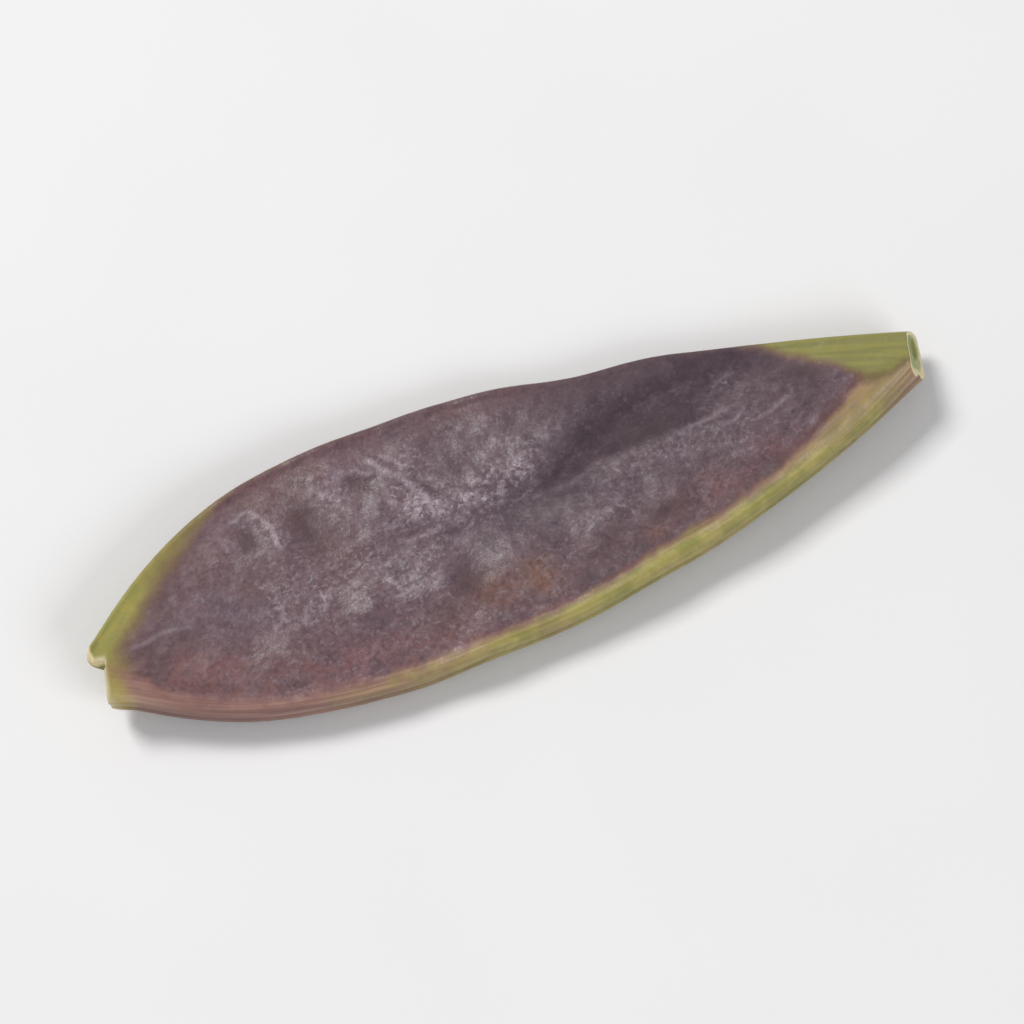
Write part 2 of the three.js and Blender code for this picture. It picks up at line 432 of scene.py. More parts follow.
    def middle_z(self, s: Array, y: Array) -> Array:
        """Works out the middle surface, which the two walls stand off.

        Args:
            s: Places along the pod.
            y: Places across it.

        Returns:
            Its height there.
        """
        to_tip = unit((self.lowest_at - s) / self.lowest_at)
        to_stem = unit((s - self.lowest_at) / (1.0 - self.lowest_at))
        lift = self.tip_lift * to_tip**self.tip_lift_power + self.stem_lift * to_stem**self.stem_lift_power
        turns = 2.0 * math.pi * s * LENGTH
        waves = sum(height * np.sin(turns / long + lean * y) for height, long, lean in self.waves)
        side = y / self.dorsal.height
        return lift + (self.twist * (s - 0.5) + waves * np.sin(math.pi * s)) * side

    def near_tip(self, s: Array) -> Array:
        """Returns how much of the tip's trimming the sleeve takes up at s, from 0 to 1."""
        return unit(1.0 - s / self.tip_fade) ** 2

    def near_stem(self, s: Array) -> Array:
        """Returns how much of the stem end's trimming the sleeve takes up at s, from 0 to 1."""
        return unit(1.0 - (1.0 - s) / self.stem_fade) ** 2

    def tip_cut(self, from_dorsal: Array, width: Array) -> Array:
        """Returns how far back the tip's cut stands at a distance from the dorsal edge of the section."""
        face = unit((from_dorsal - self.nub_ends[1]) / (width - self.nub_ends[1]))
        return lerp(self.nub_x, lerp(*self.tip_face_x, face), ramp(from_dorsal, *self.nub_ends))


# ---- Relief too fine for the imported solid
@dataclass(frozen=True)
class Oval:
    """A soft oval area of the upper wall: its middle, its half sizes, its turn, and how much it adds."""

    s: float
    y: float
    long: float
    wide: float
    turn: float
    amount: float
    softness: float = 0.8

    def reach(self, p: Points) -> Array:
        """Returns how far out from the middle each point lies, 1 being on the oval's outline."""
        place = (p.x - self.s * LENGTH + 1j * (p.y - self.y)) * np.exp(-1j * self.turn)
        return np.hypot(place.real / self.long, place.imag / self.wide)

    def share(self, p: Points) -> Array:
        """Returns 1 in the middle of the oval, easing to 0 outside it."""
        return bell(self.reach(p), 0.0, self.softness)


@dataclass(frozen=True)
class Rim(Oval):
    """A faint raised ring round a dent."""

    out: float = 1.15
    thickness: float = 0.22

    def share(self, p: Points) -> Array:
        """Returns 1 on the top of the ring, easing to 0 beside it."""
        return bell(self.reach(p), self.out, self.thickness)


@dataclass(frozen=True)
class Wrinkle:
    """A crisp fold of the skin, from one point to another, that bows and wanders a little."""

    start_s: float
    start_y: float
    end_s: float
    end_y: float
    bow: float
    amount: float
    width: float
    wander: float = 0.12
    wander_rate: float = 9.0
    begins: Span = (-0.05, 0.2)
    ends: Span = (1.05, 0.75)

    def share(self, p: Points) -> Array:
        """Works out where the fold is.

        Args:
            p: Points of the upper wall.

        Returns:
            How far up on it each point lies, from 0 to 1.
        """
        start = complex(self.start_s * LENGTH, self.start_y)
        run = complex(self.end_s * LENGTH, self.end_y) - start
        place = (p.x + 1j * p.y - start) / run
        t = place.real
        path = 4.0 * self.bow * t * (1.0 - t) + self.wander * np.sin(self.wander_rate * t + start.real)
        return ramp(t, *self.begins) * ramp(t, *self.ends) * bell(place.imag * abs(run), path, self.width)


@dataclass(frozen=True)
class Veil:
    """A soft area of the skin: an amount, times ramps over a point's measures, times bells of them."""

    amount: float
    ramps: tuple[Term, ...] = ()
    bells: tuple[Term, ...] = ()

    def share(self, p: Points) -> Array:
        """Returns how far inside the area each point lies, from 0 to 1."""
        ramps = [ramp(getattr(p, measure), *span) for measure, *span in self.ramps]
        return math.prod([*ramps, *(bell(getattr(p, measure), *span) for measure, *span in self.bells)])

    def at(self, p: Points) -> Array:
        """Returns what the area adds at each point."""
        return self.amount * self.share(p)


Marks = Sequence[Oval | Wrinkle | Veil]


def summed(marks: Marks, p: Points) -> Array:
    """Returns what some marks add up to at each point."""
    return sum(mark.amount * mark.share(p) for mark in marks)


def ovals(*rows: tuple[float, float, float, float, float, float]) -> tuple[Oval, ...]:
    """Returns one oval for each row of its numbers."""
    return tuple(Oval(*row) for row in rows)


@dataclass(frozen=True)
class Layer:
    """One layer of grain: how long and wide its blotches are, its level in the lattice, and its height."""

    long: float
    wide: float
    level: float
    height: float = 1.0

    def at(self, grain: Grain, x: Array, y: Array, level: float) -> Array:
        """Returns its height at each place, with the lattice shifted to a wall's own level."""
        return self.height * grain.at(x / self.long, y / self.wide, level + self.level)


@dataclass(frozen=True)
class Relief:
    """Unevenness of the skin: soft leather, folds beside the ventral suture, wrinkles and dents."""

    grain: Grain
    wall_level: float = 5.7
    leather: tuple[Layer, ...] = (
        Layer(6.1, 4.3, 0.0, 0.19),
        Layer(2.7, 2.1, 4.0, 0.1045),
        Layer(1.1, 0.9, 8.0, 0.0418),
    )
    folds: Layer = Layer(1.25, 4.5, 13.0, 0.07)
    fold_slant: float = 0.5
    fold_area: Veil = Veil(1.0, (("ventral", 0.9, 2.2), ("ventral", 8.0, 3.5)))
    edge: Layer = Layer(1.4, 0.8, 31.0, 0.06)
    web_height: float = 0.09
    web_level: float = 3.3
    web_warp: Layer = Layer(3.1, 3.1, 11.0)
    web_net: Layer = Layer(1.9, 1.3, 0.0)
    web_sharpness: float = 9.0
    web_patches: Layer = Layer(6.0, 4.0, 20.0)
    web_gathers: Span = (-0.15, 0.45)
    valley: float = 0.22
    crack: float = 0.03
    peas: float = 0.16
    smoothing: Veil = Veil(-0.75, (("s", 0.85, 0.95),))
    full_dent: float = 0.2
    full_wrinkle: float = 0.09
    rims: tuple[Rim, ...] = (Rim(0.868, 2.2, 3.0, 1.4, -0.3, 0.09),)
    dents: tuple[Oval, ...] = ovals(
        (0.212, 4.2, 1.3, 1.6, 0.2, 0.24), (0.279, 3.9, 1.7, 2.4, 0.2, 0.28),
        (0.358, 5.4, 1.7, 1.2, -0.3, 0.24), (0.868, 2.2, 3.0, 1.4, -0.3, 0.22),
        (0.6, -5.6, 2.2, 1.0, 0.9, 0.14), (0.665, -5.4, 1.8, 0.9, 0.2, 0.2),
        (0.43, -5.4, 1.8, 1.5, 0.3, 0.16), (0.39, -7.6, 2.0, 1.1, 0.5, 0.12),
        (0.46, 3.6, 2.4, 1.2, 0.4, 0.1), (0.1, 2.0, 0.8, 0.7, 0.1, 0.12), (0.675, 1.7, 4.6, 1.3, 0.12, 0.2),
    )
    wrinkles: tuple[Wrinkle, ...] = tuple(Wrinkle(*row) for row in (
        (0.364, 7.8, 0.412, 3.0, 0.3, 0.11, 0.15), (0.384, 7.9, 0.406, 5.2, 0.2, 0.08, 0.13),
        (0.35, 7.3, 0.378, 5.9, -0.2, 0.07, 0.13), (0.405, 4.0, 0.42, 0.6, 0.25, 0.1, 0.15),
        (0.372, 3.6, 0.412, 1.2, -0.3, 0.07, 0.13), (0.225, 6.8, 0.243, 2.0, 0.4, 0.1, 0.15),
        (0.194, 5.9, 0.228, 6.5, 0.3, 0.09, 0.15), (0.205, 3.0, 0.236, 2.2, 0.2, 0.06, 0.13),
        (0.03, -1.3, 0.125, -1.2, 0.25, 0.05, 0.15), (0.212, -3.4, 0.236, -1.0, 0.15, 0.06, 0.13),
        (0.234, -4.2, 0.256, -1.6, -0.15, 0.06, 0.13), (0.262, -4.0, 0.284, -1.8, 0.15, 0.05, 0.13),
        (0.33, -1.0, 0.356, -4.6, 0.2, 0.06, 0.14), (0.53, -0.4, 0.63, 0.9, -0.3, 0.05, 0.18),
        (0.566, 3.4, 0.584, 6.0, 0.1, 0.06, 0.16), (0.586, 3.9, 0.602, 6.2, 0.1, 0.05, 0.16),
        (0.76, 2.4, 0.8, 4.6, 0.3, 0.05, 0.2), (0.735, 1.4, 0.79, 3.2, 0.3, 0.04, 0.2),
        (0.7, 0.2, 0.8, 0.9, 0.3, 0.06, 0.18), (0.8, -0.9, 0.855, 0.2, 0.2, 0.05, 0.16),
    ))

    def web(self, p: Points) -> Array:
        """Works out the web of fine folds over a wall, which comes and goes.

        Args:
            p: Points of the wall.

        Returns:
            0 between the folds to 1 on them.
        """
        level = self.web_level * p.wall.value
        warp = self.web_warp.at(self.grain, p.x, p.y, level)
        net = self.web_net
        folds = net.at(self.grain, p.x + net.long * warp, p.y - net.wide * warp, level)
        patches = self.web_patches.at(self.grain, p.x, p.y, level)
        return (1.0 - np.abs(folds)) ** self.web_sharpness * ramp(patches, *self.web_gathers)

    def height(self, form: PodForm, p: Points) -> Array:
        """Works out the fine relief.

        Args:
            form: The pod that it lies on.
            p: Points of a wall.

        Returns:
            Height over the plain wall.
        """
        level = self.wall_level * p.wall.value
        skin = sum(layer.at(self.grain, p.x, p.y, level) for layer in self.leather)
        skin += self.fold_area.at(p) * self.folds.at(self.grain, p.x + self.fold_slant * p.y, p.y, level)
        skin += self.web_height * self.web(p) + self.peas * form.pea_share(p) ** 2
        if p.upper:
            crease = form.upper_crease
            skin -= self.valley * crease.share(p.s, p.y) + self.crack * crease.floor(p.s, p.y)
            skin += summed((*self.wrinkles, *self.rims), p) - summed(self.dents, p)
        edge = self.edge.at(self.grain, p.x, p.ventral, level)
        return (1.0 + self.smoothing.at(p)) * (form.inside(p) * skin + edge)


# ---- Where the colours lie
@dataclass(frozen=True)
class Markings:
    """Where each colour of the skin lies: widths of its bands, patches, and how much a point has of each."""

    ventral_width: Stations = (
        (0.0, 3.1), (0.03, 2.7), (0.06, 2.0), (0.1, 1.25), (0.15, 1.2), (0.2, 1.0), (0.25, 1.2),
        (0.33, 1.4), (0.45, 1.45), (0.55, 1.5), (0.62, 1.8), (0.68, 1.95), (0.73, 1.75), (0.8, 1.5),
        (0.87, 1.6), (0.93, 1.7), (1.0, 1.3),
    )
    inner_width: Stations = (
        (0.0, 0.3), (0.2, 0.2), (0.5, 0.3), (0.7, 0.3), (0.768, 0.45), (0.8, 0.55), (0.835, 0.7),
        (0.87, 0.95), (0.9, 1.35), (0.925, 1.8), (0.945, 0.85), (0.97, 0.15), (1.0, 0.0),
    )
    dorsal_width: Stations = (
        (0.0, 2.6), (0.02, 2.4), (0.05, 2.4), (0.07, 2.2), (0.1, 1.75), (0.14, 1.15), (0.17, 0.65),
        (0.22, -0.3), (0.8, -0.6), (0.83, -0.1), (0.85, 0.8), (0.88, 1.8), (0.91, 2.8), (0.93, 3.8),
        (1.0, 5.0),
    )
    greenness: Stations = (
        (0.0, 0.45), (0.02, 0.3), (0.05, 0.05), (0.2, 0.1), (0.25, 0.3), (0.33, 0.4), (0.38, 0.55),
        (0.45, 0.8), (0.5, 0.6), (0.56, 0.85), (0.65, 1.0), (0.72, 0.75), (0.8, 0.85), (0.92, 0.8),
        (0.97, 0.4), (1.0, 0.2),
    )
    wax: tuple[Oval, ...] = ovals(
        (0.22, 4.6, 2.4, 2.4, 0.0, 0.4), (0.322, 5.6, 2.4, 2.0, 0.0, 0.5), (0.4, 3.0, 2.4, 4.6, -0.2, 0.7),
        (0.46, 1.4, 4.0, 2.4, 0.2, 0.8), (0.52, 1.8, 3.4, 2.0, 0.5, 0.55), (0.548, 3.6, 1.3, 1.0, 0.3, 0.7),
        (0.36, -3.2, 3.6, 4.0, 0.3, 0.5), (0.25, -1.6, 4.6, 2.6, 0.2, 0.4), (0.6, -3.8, 3.4, 1.3, 0.1, 0.3),
        (0.7, -0.5, 7.0, 1.2, 0.1, 0.35), (0.785, 3.6, 2.4, 1.6, 0.9, 0.5),
        (0.44, -9.0, 5.0, 1.5, 0.0, 0.3),
    )
    amber: tuple[Oval, ...] = ovals(
        (0.502, -7.0, 1.9, 2.0, 0.1, 0.9), (0.452, -6.6, 2.6, 2.0, 0.2, 0.5),
        (0.65, -6.6, 1.6, 0.8, 0.3, 0.5),
    )
    # Patches of painted shade: along the valley, towards the stem, and over the pits, which are also a darker
    # brown
    dark: tuple[Oval, ...] = ovals(
        (0.212, 4.2, 1.3, 1.6, 0.2, 0.42), (0.279, 4.0, 1.5, 2.4, 0.1, 0.4),
        (0.76, 0.8, 7.0, 2.2, 0.1, 0.45), (0.43, -5.4, 1.7, 1.4, 0.3, 0.35),
        (0.665, -5.3, 1.7, 0.8, 0.2, 0.5), (0.875, 1.5, 3.6, 2.0, -0.2, 0.75),
        (0.855, -0.9, 2.8, 1.4, 0.35, 0.8), (0.68, 2.2, 5.0, 1.2, 0.14, 0.6),
        (0.575, -0.9, 4.4, 2.4, 0.1, 0.85), (0.12, 4.7, 4.6, 1.1, 0.44, 0.5),
        (0.84, -1.6, 4.0, 1.0, 0.5, 0.3),
    )
    rose: tuple[Oval, ...] = ovals(
        (0.045, -2.9, 2.8, 1.4, -0.5, 0.9), (0.12, -4.6, 5.0, 2.0, -0.35, 0.7),
        (0.24, -8.2, 7.0, 1.8, -0.1, 0.7), (0.72, -5.0, 6.0, 1.8, 0.3, 0.9),
        (0.8, -4.0, 4.6, 1.4, 0.36, 0.9), (0.15, 3.4, 4.0, 1.4, 0.5, 0.3),
    )
    lower_share: float = 0.8
    tip_band: float = 1.6
    stem_band_at: float = 0.932
    stem_band_slope: float = 0.8
    ventral_blur: tuple[Veil, ...] = (Veil(1.6, (("s", 0.26, 0.14),)), Veil(1.6, (("s", 0.84, 0.9),)))
    dorsal_blur: tuple[Veil, ...] = (Veil(1.2, (("s", 0.2, 0.1),)),)
    # Pale lines: the rim of the tip's cut, its ventral corner, and a faint painted highlight along the
    # ventral lip near the tip
    rims: tuple[Veil, ...] = (
        Veil(1.0, (), (("x", 0.0, 0.3),)),
        Veil(0.8, (), (("x", 0.0, 0.75), ("ventral", 0.0, 0.75))),
        Veil(0.25, (("x", 6.0, 1.5),), (("ventral", 0.5, 0.3),)),
    )
    # Painted shade: where it starts behind the valley, how it thins, the valley and its floor, the dark
    # patches, and the dimmer stem half
    shore_y: Span = (-0.9, 0.1)
    shore_turns: Span = (0.5, 0.62)
    shore_climb: Veil = Veil(2.6, (("s", 0.73, 0.82),))
    shore_width: float = 1.6
    hollow: Veil = Veil(0.9, (("s", 0.53, 0.64), ("s", 0.9, 0.76)))
    hollow_thins: Veil = Veil(-0.4, (("y", 4.5, 7.5),))
    valley: float = 0.5
    valley_floor: float = 0.3
    dark_patches: float = 0.6
    far: Veil = Veil(0.14, (("s", 0.5, 0.66),))
    slate: Veil = Veil(1.0, (("s", 0.3, 0.5), ("s", 0.9, 0.76), ("ventral", 3.0, 8.0)))
    rose_bands: tuple[Veil, ...] = (
        Veil(0.8, (("s", 0.6, 0.4),), (("ventral", 2.2, 2.4),)),
        Veil(0.35, (), (("dorsal", 1.0, 2.0),)),
    )
    thin_bloom: Veil = Veil(0.22, (("s", 0.04, 0.2),))
    thick_bloom: float = 0.9
    lower_bloom: float = 0.35
    bloom_in_shade: float = 0.6
    matt: tuple[Veil, ...] = (
        Veil(0.12, (("s", 0.26, 0.08),)),
        Veil(0.25, (("s", 0.26, 0.16),), (("dorsal", 2.0, 1.6),)),
    )
    shade_matt: float = 0.4
    most_matt: float = 0.5

    def patched(self, marks: Marks, p: Points, full: float = 1.0) -> Array:
        """Returns how much of a full mark each point has, from 0 to 1: nothing on the lower wall."""
        return p.upper * unit(summed(marks, p) / full)

    def bands(self, p: Points) -> dict[str, Array]:
        """Works out the bands along the sutures, the pale rims of the tip's cut, and a painted highlight
        along the ventral lip by the tip.

        Args:
            p: Points of one wall.

        Returns:
            How many millimetres inside each band a point lies, and how much of the rims it has.
        """
        share = 1.0 if p.upper else self.lower_share
        ventral = share * along(self.ventral_width, p.s) - p.ventral
        dorsal = share * along(self.dorsal_width, p.s) - p.dorsal
        ends = np.maximum(self.tip_band - p.x, self.stem_band_slope * (p.x - self.stem_band_at * LENGTH))
        return {
            "ventral_band": ventral / (1.0 + summed(self.ventral_blur, p)),
            "inner_band": ventral + share * along(self.inner_width, p.s),
            "dorsal_band": np.maximum(dorsal, ends) / (1.0 + summed(self.dorsal_blur, p)),
            "rim_line": np.max([rim.at(p) for rim in self.rims], axis=0),
        }

    def shade(self, crease: Crease, p: Points) -> Array:
        """Works out the painted shade behind the valley and along it, with the dark patches and the dimmer
        stem half.

        Args:
            crease: The valley.
            p: Points of one wall.

        Returns:
            How much painted shade each point has, from 0 to 1.
        """
        shore = lerp(*self.shore_y, ramp(p.s, *self.shore_turns)) + self.shore_climb.at(p)
        behind = ramp(p.y, shore, shore + self.shore_width) * (1.0 + self.hollow_thins.at(p))
        valley = self.valley * crease.share(p.s, p.y) + self.valley_floor * crease.floor(p.s, p.y)
        patches = self.dark_patches * self.patched(self.dark, p)
        return unit(self.hollow.at(p) * behind + valley + patches + self.far.at(p))

    def fields(self, form: PodForm, relief: Relief, p: Points) -> dict[str, Array]:
        """Works out the fields that the skin's material reads.

        Args:
            form: The pod.
            relief: Its fine relief.
            p: Points of one wall.

        Returns:
            One value for each point and field. What isn't in millimetres runs from 0 to 1.
        """
        shade = self.shade(form.upper_crease, p)
        wax = self.thin_bloom.at(p) + self.thick_bloom * self.patched(self.wax, p)
        rose = unit(summed(self.rose_bands, p) + self.patched(self.rose, p))
        return {
            **self.bands(p),
            "greenness": along(self.greenness, p.s),
            "shade": shade * p.upper,
            "dent": self.patched(relief.dents, p, relief.full_dent),
            "fold": self.patched(relief.wrinkles, p, relief.full_wrinkle),
            "web": relief.web(p),
            "bloom": (unit(wax) if p.upper else self.lower_bloom) * (1.0 - self.bloom_in_shade * shade),
            "blush": rose * (1.0 - shade),
            "amber": self.patched(self.amber, p),
            "slate": self.slate.at(p),
            "matt": np.minimum(self.shade_matt * shade * p.upper + summed(self.matt, p), self.most_matt),
            "along": p.s,
            "ventral": p.ventral,
            "dorsal": p.dorsal,
        }


# ---- The pod's mesh
@dataclass(frozen=True)
class Bead:
    """The swollen scar at the dorsal corner of the tip's cut, with a notch beside it."""

    radius: float = 0.68
    proud: float = 0.38
    swell: float = 0.28
    notch: float = 0.95
    notch_width: float = 0.22
    notch_ends: Span = (2.96, 1.66)
    roundness: float = 0.97
    size: float = 0.85
    least_reach: float = 0.05

    def outline(self, from_dorsal: Array) -> Array:
        """Returns how far the bead's round outline stands from its middle line, towards the tip."""
        return self.radius * np.sqrt(unit(1.0 - ((from_dorsal - self.radius) / self.radius) ** 2))

    def here(self, from_dorsal: Array) -> Array:
        """Returns 1 beside the dorsal edge, where the bead is, and 0 beyond its notch."""
        return ramp(from_dorsal, 2.0 * self.radius, 2.0 * self.radius - self.notch_width)

    def push(self, from_dorsal: Array, plain: Array) -> Array:
        """Works out how far the cut stands from its plane.

        Args:
            from_dorsal: Distance from the dorsal edge.
            plain: How far it would stand without the bead.

        Returns:
            The cut's x: round over the bead, then deep in the notch, then plain.
        """
        ball = self.radius - self.proud - self.outline(from_dorsal)
        notch = self.notch * ramp(from_dorsal, *self.notch_ends)
        return lerp(np.maximum(plain, notch), ball, self.here(from_dorsal))

    def share(self, x: Array, from_dorsal: Array) -> Array:
        """Returns how much of the bead a point of the skin has, from 0 to 1."""
        off = np.hypot(x - self.radius + self.proud, from_dorsal - self.radius)
        return bell(off, 0.0, self.size * self.radius)

    def closing(self, x: Array, from_dorsal: Array) -> Array:
        """Returns how far a point is from the bead's middle line to its outline, from 0 to 1."""
        reach = np.maximum(self.outline(from_dorsal), self.least_reach)
        return self.here(from_dorsal) * unit((self.radius - self.proud - x) / reach)


class End(Enum):
    """The two cut ends, by their place along the pod."""

    TIP = 0.0
    STEM = 1.0

    @property
    def inward(self) -> float:
        """The direction into the pod, along X."""
        return 1.0 - 2.0 * self.value


@dataclass
class PodBody:
    """The pod's visible body: a sleeve of rings that turns in over each cut and down into its slit."""

    form: PodForm
    relief: Relief
    markings: Markings
    sections: int = 388
    ventral_steps: int = 22
    wall_steps: int = 74
    dorsal_steps: int = 12
    end_crowding: float = 0.4
    edge_crowding: float = 0.5
    ventral_roundness: float = 0.85
    cut_rings: int = 7
    first_cut_ring: float = 0.04
    cut_rings_from: Span = (0.12, 1.0)
    cut_hollow: float = 0.16
    grit: Layer = Layer(0.35, 0.35, 50.0, 0.035)
    slit_rings: int = 6
    slit_shading: float = 2.5
    bead: Bead = Bead()
    map_length: Span = (0.01, 0.99)
    map_sleeve: Span = (0.01, 0.95)
    map_floors: Span = (0.99, 0.965)
    map_name: str = "OFBake"
    name: str = "pod_body"

    @property
    def around(self) -> int:
        """Points in one ring."""
        return 2 * (self.ventral_steps + self.wall_steps + self.dorsal_steps)

    def cut_x(self, s: Array, from_dorsal: Array) -> Array:
        """Returns where the tip's cut stands along X, with its bead and notch."""
        return self.bead.push(from_dorsal, self.form.tip_cut(from_dorsal, self.form.width(s)))

    def wall(self, s: Array, wall: Wall) -> dict[str, Array]:
        """Lays out one wall, from the ventral groove to the dorsal ridge.

        Args:
            s: Stations along the pod, as a column.
            wall: Which wall.

        Returns:
            y, the distance z from the middle surface, and the skin's fields, one row for each station.
        """
        form, bead = self.form, self.bead
        width = form.width(s)
        round_v = lerp(form.ventral_lip.rounding(width), form.tip_round, form.near_tip(s))
        round_d = form.dorsal_lip.rounding(width)
        turn_v = np.arange(self.ventral_steps) / self.ventral_steps * math.pi / 2.0
        turn_d = np.arange(self.dorsal_steps - 1, -1, -1) / self.dorsal_steps * math.pi / 2.0
        steps = crowd(np.arange(self.wall_steps + 1) / self.wall_steps, self.edge_crowding)
        open_wall = lerp(round_v, width - round_d, steps)
        rounded = round_v * (1.0 - np.cos(turn_v)), width - round_d * (1.0 - np.cos(turn_d))
        distance = np.concatenate([rounded[0], open_wall, rounded[1]], axis=1)
        fall = np.concatenate([np.sin(turn_v) ** self.ventral_roundness, np.ones(len(steps)), np.sin(turn_d)])
        p = form.points(s, np.clip(distance, round_v, width - round_d), wall)
        half = form.wall_half(p) + self.relief.height(form, p) + bead.swell * bead.share(p.x, p.dorsal)
        x = p.x + form.near_tip(s) * self.cut_x(s, p.dorsal)
        z = half * np.sqrt(1.0 - bead.closing(x, p.dorsal) ** 2 * bead.roundness) * fall
        p = form.points(s, distance, wall)
        groove = bell(z, 0.0, form.groove_half) * (distance < width / 2.0)
        place = {"y": p.y + form.groove_depth * groove, "z": wall.value * z, "groove": groove}
        bare = dict.fromkeys(("flesh", "slit", "core"), np.zeros_like(z))
        return {**place, **bare, **self.markings.fields(form, self.relief, p)}

    def sleeve(self, s: Array) -> dict[str, Array]:
        """Lays out whole sections, with the lower wall running back.

        Args:
            s: Stations along the pod, as a column.

        Returns:
            x, y, z and the skin's fields, one row for each station.
        """
        upper = self.wall(s, Wall.UPPER)
        lower = self.wall(s, Wall.LOWER)
        rings = {key: np.concatenate([upper[key], lower[key][:, -2:0:-1]], axis=1) for key in upper}
        rings["x"] = self.trimmed(s, rings["y"], rings["z"])
        rings["nub"] = self.bead.closing(rings["x"], rings["dorsal"])
        rings["z"] = rings["z"] + self.form.middle_z(s, rings["y"])
        return rings

    def trimmed(self, s: Array, y: Array, z: Array) -> Array:
        """Works out where the sleeve stands along X, with its ends leaning to lie on their cuts.

        Args:
            s: Places along the pod.
            y: Distances from the chord.
            z: Distances from the middle surface, up.

        Returns:
            The x of each point.
        """
        form = self.form
        tip = self.cut_x(s, form.dorsal_y(s) - y) - form.tip_lean * z
        stem = form.stem_slant * y - form.stem_lean * z
        return s * LENGTH + form.near_tip(s) * tip + form.near_stem(s) * stem

    def slit_ring(self, end: End, slit: Slit, half: float, depth: float) -> dict[str, Array]:
        """Lays out a thin lens round a slit.

        Args:
            end: Which cut.
            slit: The slit.
            half: Half width of the lens.
            depth: How far it lies behind the cut.

        Returns:
            x, y and z of its points.
        """
        s = np.array(end.value)
        turn = np.arange(self.around) / (self.around / 2.0) * math.pi
        across = lerp(slit.low, slit.high, (1.0 - np.cos(turn)) / 2.0)
        y = across * self.form.width(s) + self.form.ventral_y(s)
        z = half * np.sin(turn)
        return {"x": self.trimmed(s, y, z) + end.inward * depth, "y": y, "z": z + self.form.middle_z(s, y)}

    def end_rings(self, end: End, hole: Slit, rim: dict[str, Array]) -> dict[str, Array]:
        """Fills a cut face and its slit.

        Args:
            end: Which cut.
            hole: Its slit.
            rim: The section ring on the cut.

        Returns:
            Rings from just inside the rim, over the cut face and down the slit.
        """
        mouth = self.slit_ring(end, hole, hole.half, 0.0)
        floor = self.slit_ring(end, hole, hole.end_half, hole.depth)
        rings = []
        for share in (self.first_cut_ring, *np.linspace(*self.cut_rings_from, self.cut_rings)):
            place = {axis: lerp(rim[axis], mouth[axis], share) for axis in "xyz"}
            grit = self.grit.at(self.relief.grain, place["y"], place["z"], end.value)
            hollow = self.cut_hollow * math.sin(math.pi * share) * share
            place["x"] = place["x"] + end.inward * (hollow + grit)
            rings.append({**rim, **place, "flesh": 1.0, "core": share})
        for share in np.linspace(0.0, 1.0, self.slit_rings + 1)[1:]:
            place = {axis: lerp(mouth[axis], floor[axis], share) for axis in "xyz"}
            slit = min(1.0, self.slit_shading * share)
            rings.append({**rim, **place, "flesh": 1.0, "core": 1.0, "slit": slit})
        return {key: np.stack([np.broadcast_to(ring[key], self.around) for ring in rings]) for key in rim}

    def rings(self) -> dict[str, Array]:
        """Lays out every ring of the body, set down on the floor.

        Returns:
            The rings in order, from the bottom of one slit to the bottom of the other.
        """
        s = crowd(np.linspace(0.0, 1.0, self.sections + 1), self.end_crowding)[:, None]
        sleeve = self.sleeve(s)
        first, last = ({key: rows[i] for key, rows in sleeve.items()} for i in (0, -1))
        tip = self.end_rings(End.TIP, self.form.tip_slit, first)
        stem = self.end_rings(End.STEM, self.form.stem_slit, last)
        rings = {key: np.concatenate([tip[key][::-1], sleeve[key], stem[key]]) for key in sleeve}
        for axis, shift in zip("xyz", self.form.set_down):
            rings[axis] = rings[axis] + shift
        rings["z"] = np.maximum(rings["z"], 0.0)
        return rings

    def faces(self, ring_count: int) -> list[list[int]]:
        """Works out the quads between rings, and the triangles that close both slits.

        Args:
            ring_count: How many rings the body has.

        Returns:
            The corners of each face.
        """
        around = self.around
        here = np.arange(ring_count)[:, None] * around + np.arange(around)
        beside = np.roll(here, -1, axis=1)
        quads = np.stack([here[:-1], here[1:], beside[1:], beside[:-1]], axis=-1)
        middles = np.full(around, ring_count * around)
        fans = np.stack([middles, here[0], beside[0], middles + 1, beside[-1], here[-1]], axis=-1)
        return quads.reshape(-1, 4).tolist() + fans.reshape(-1, 3).tolist()

    def lay_map(self, mesh: bpy.types.Mesh, ring_count: int) -> None:
        """Lays the sleeve out flat on a map, so that patterns bake evenly.

        Args:
            mesh: The body's mesh.
            ring_count: How many rings it has.
        """
        ring, step = np.divmod(np.arange((ring_count - 1) * self.around)[:, None], self.around)
        fans = (np.arange(2 * self.around)[:, None] + [0, 0, 1]) / (2 * self.around)
        u = np.concatenate([((ring + [0, 1, 1, 0]) / (ring_count - 1)).ravel(), fans.ravel()])
        v = lerp(*self.map_sleeve, (step + [0, 0, 1, 1]) / self.around)
        top, foot = self.map_floors
        v = np.concatenate([v.ravel(), np.tile([top, foot, foot], 2 * self.around)])
        layer = mesh.uv_layers.new(name=self.map_name)
        place = np.stack([lerp(*self.map_length, u), v], axis=1)
        layer.uv.foreach_set("vector", place.astype(np.float32).ravel())

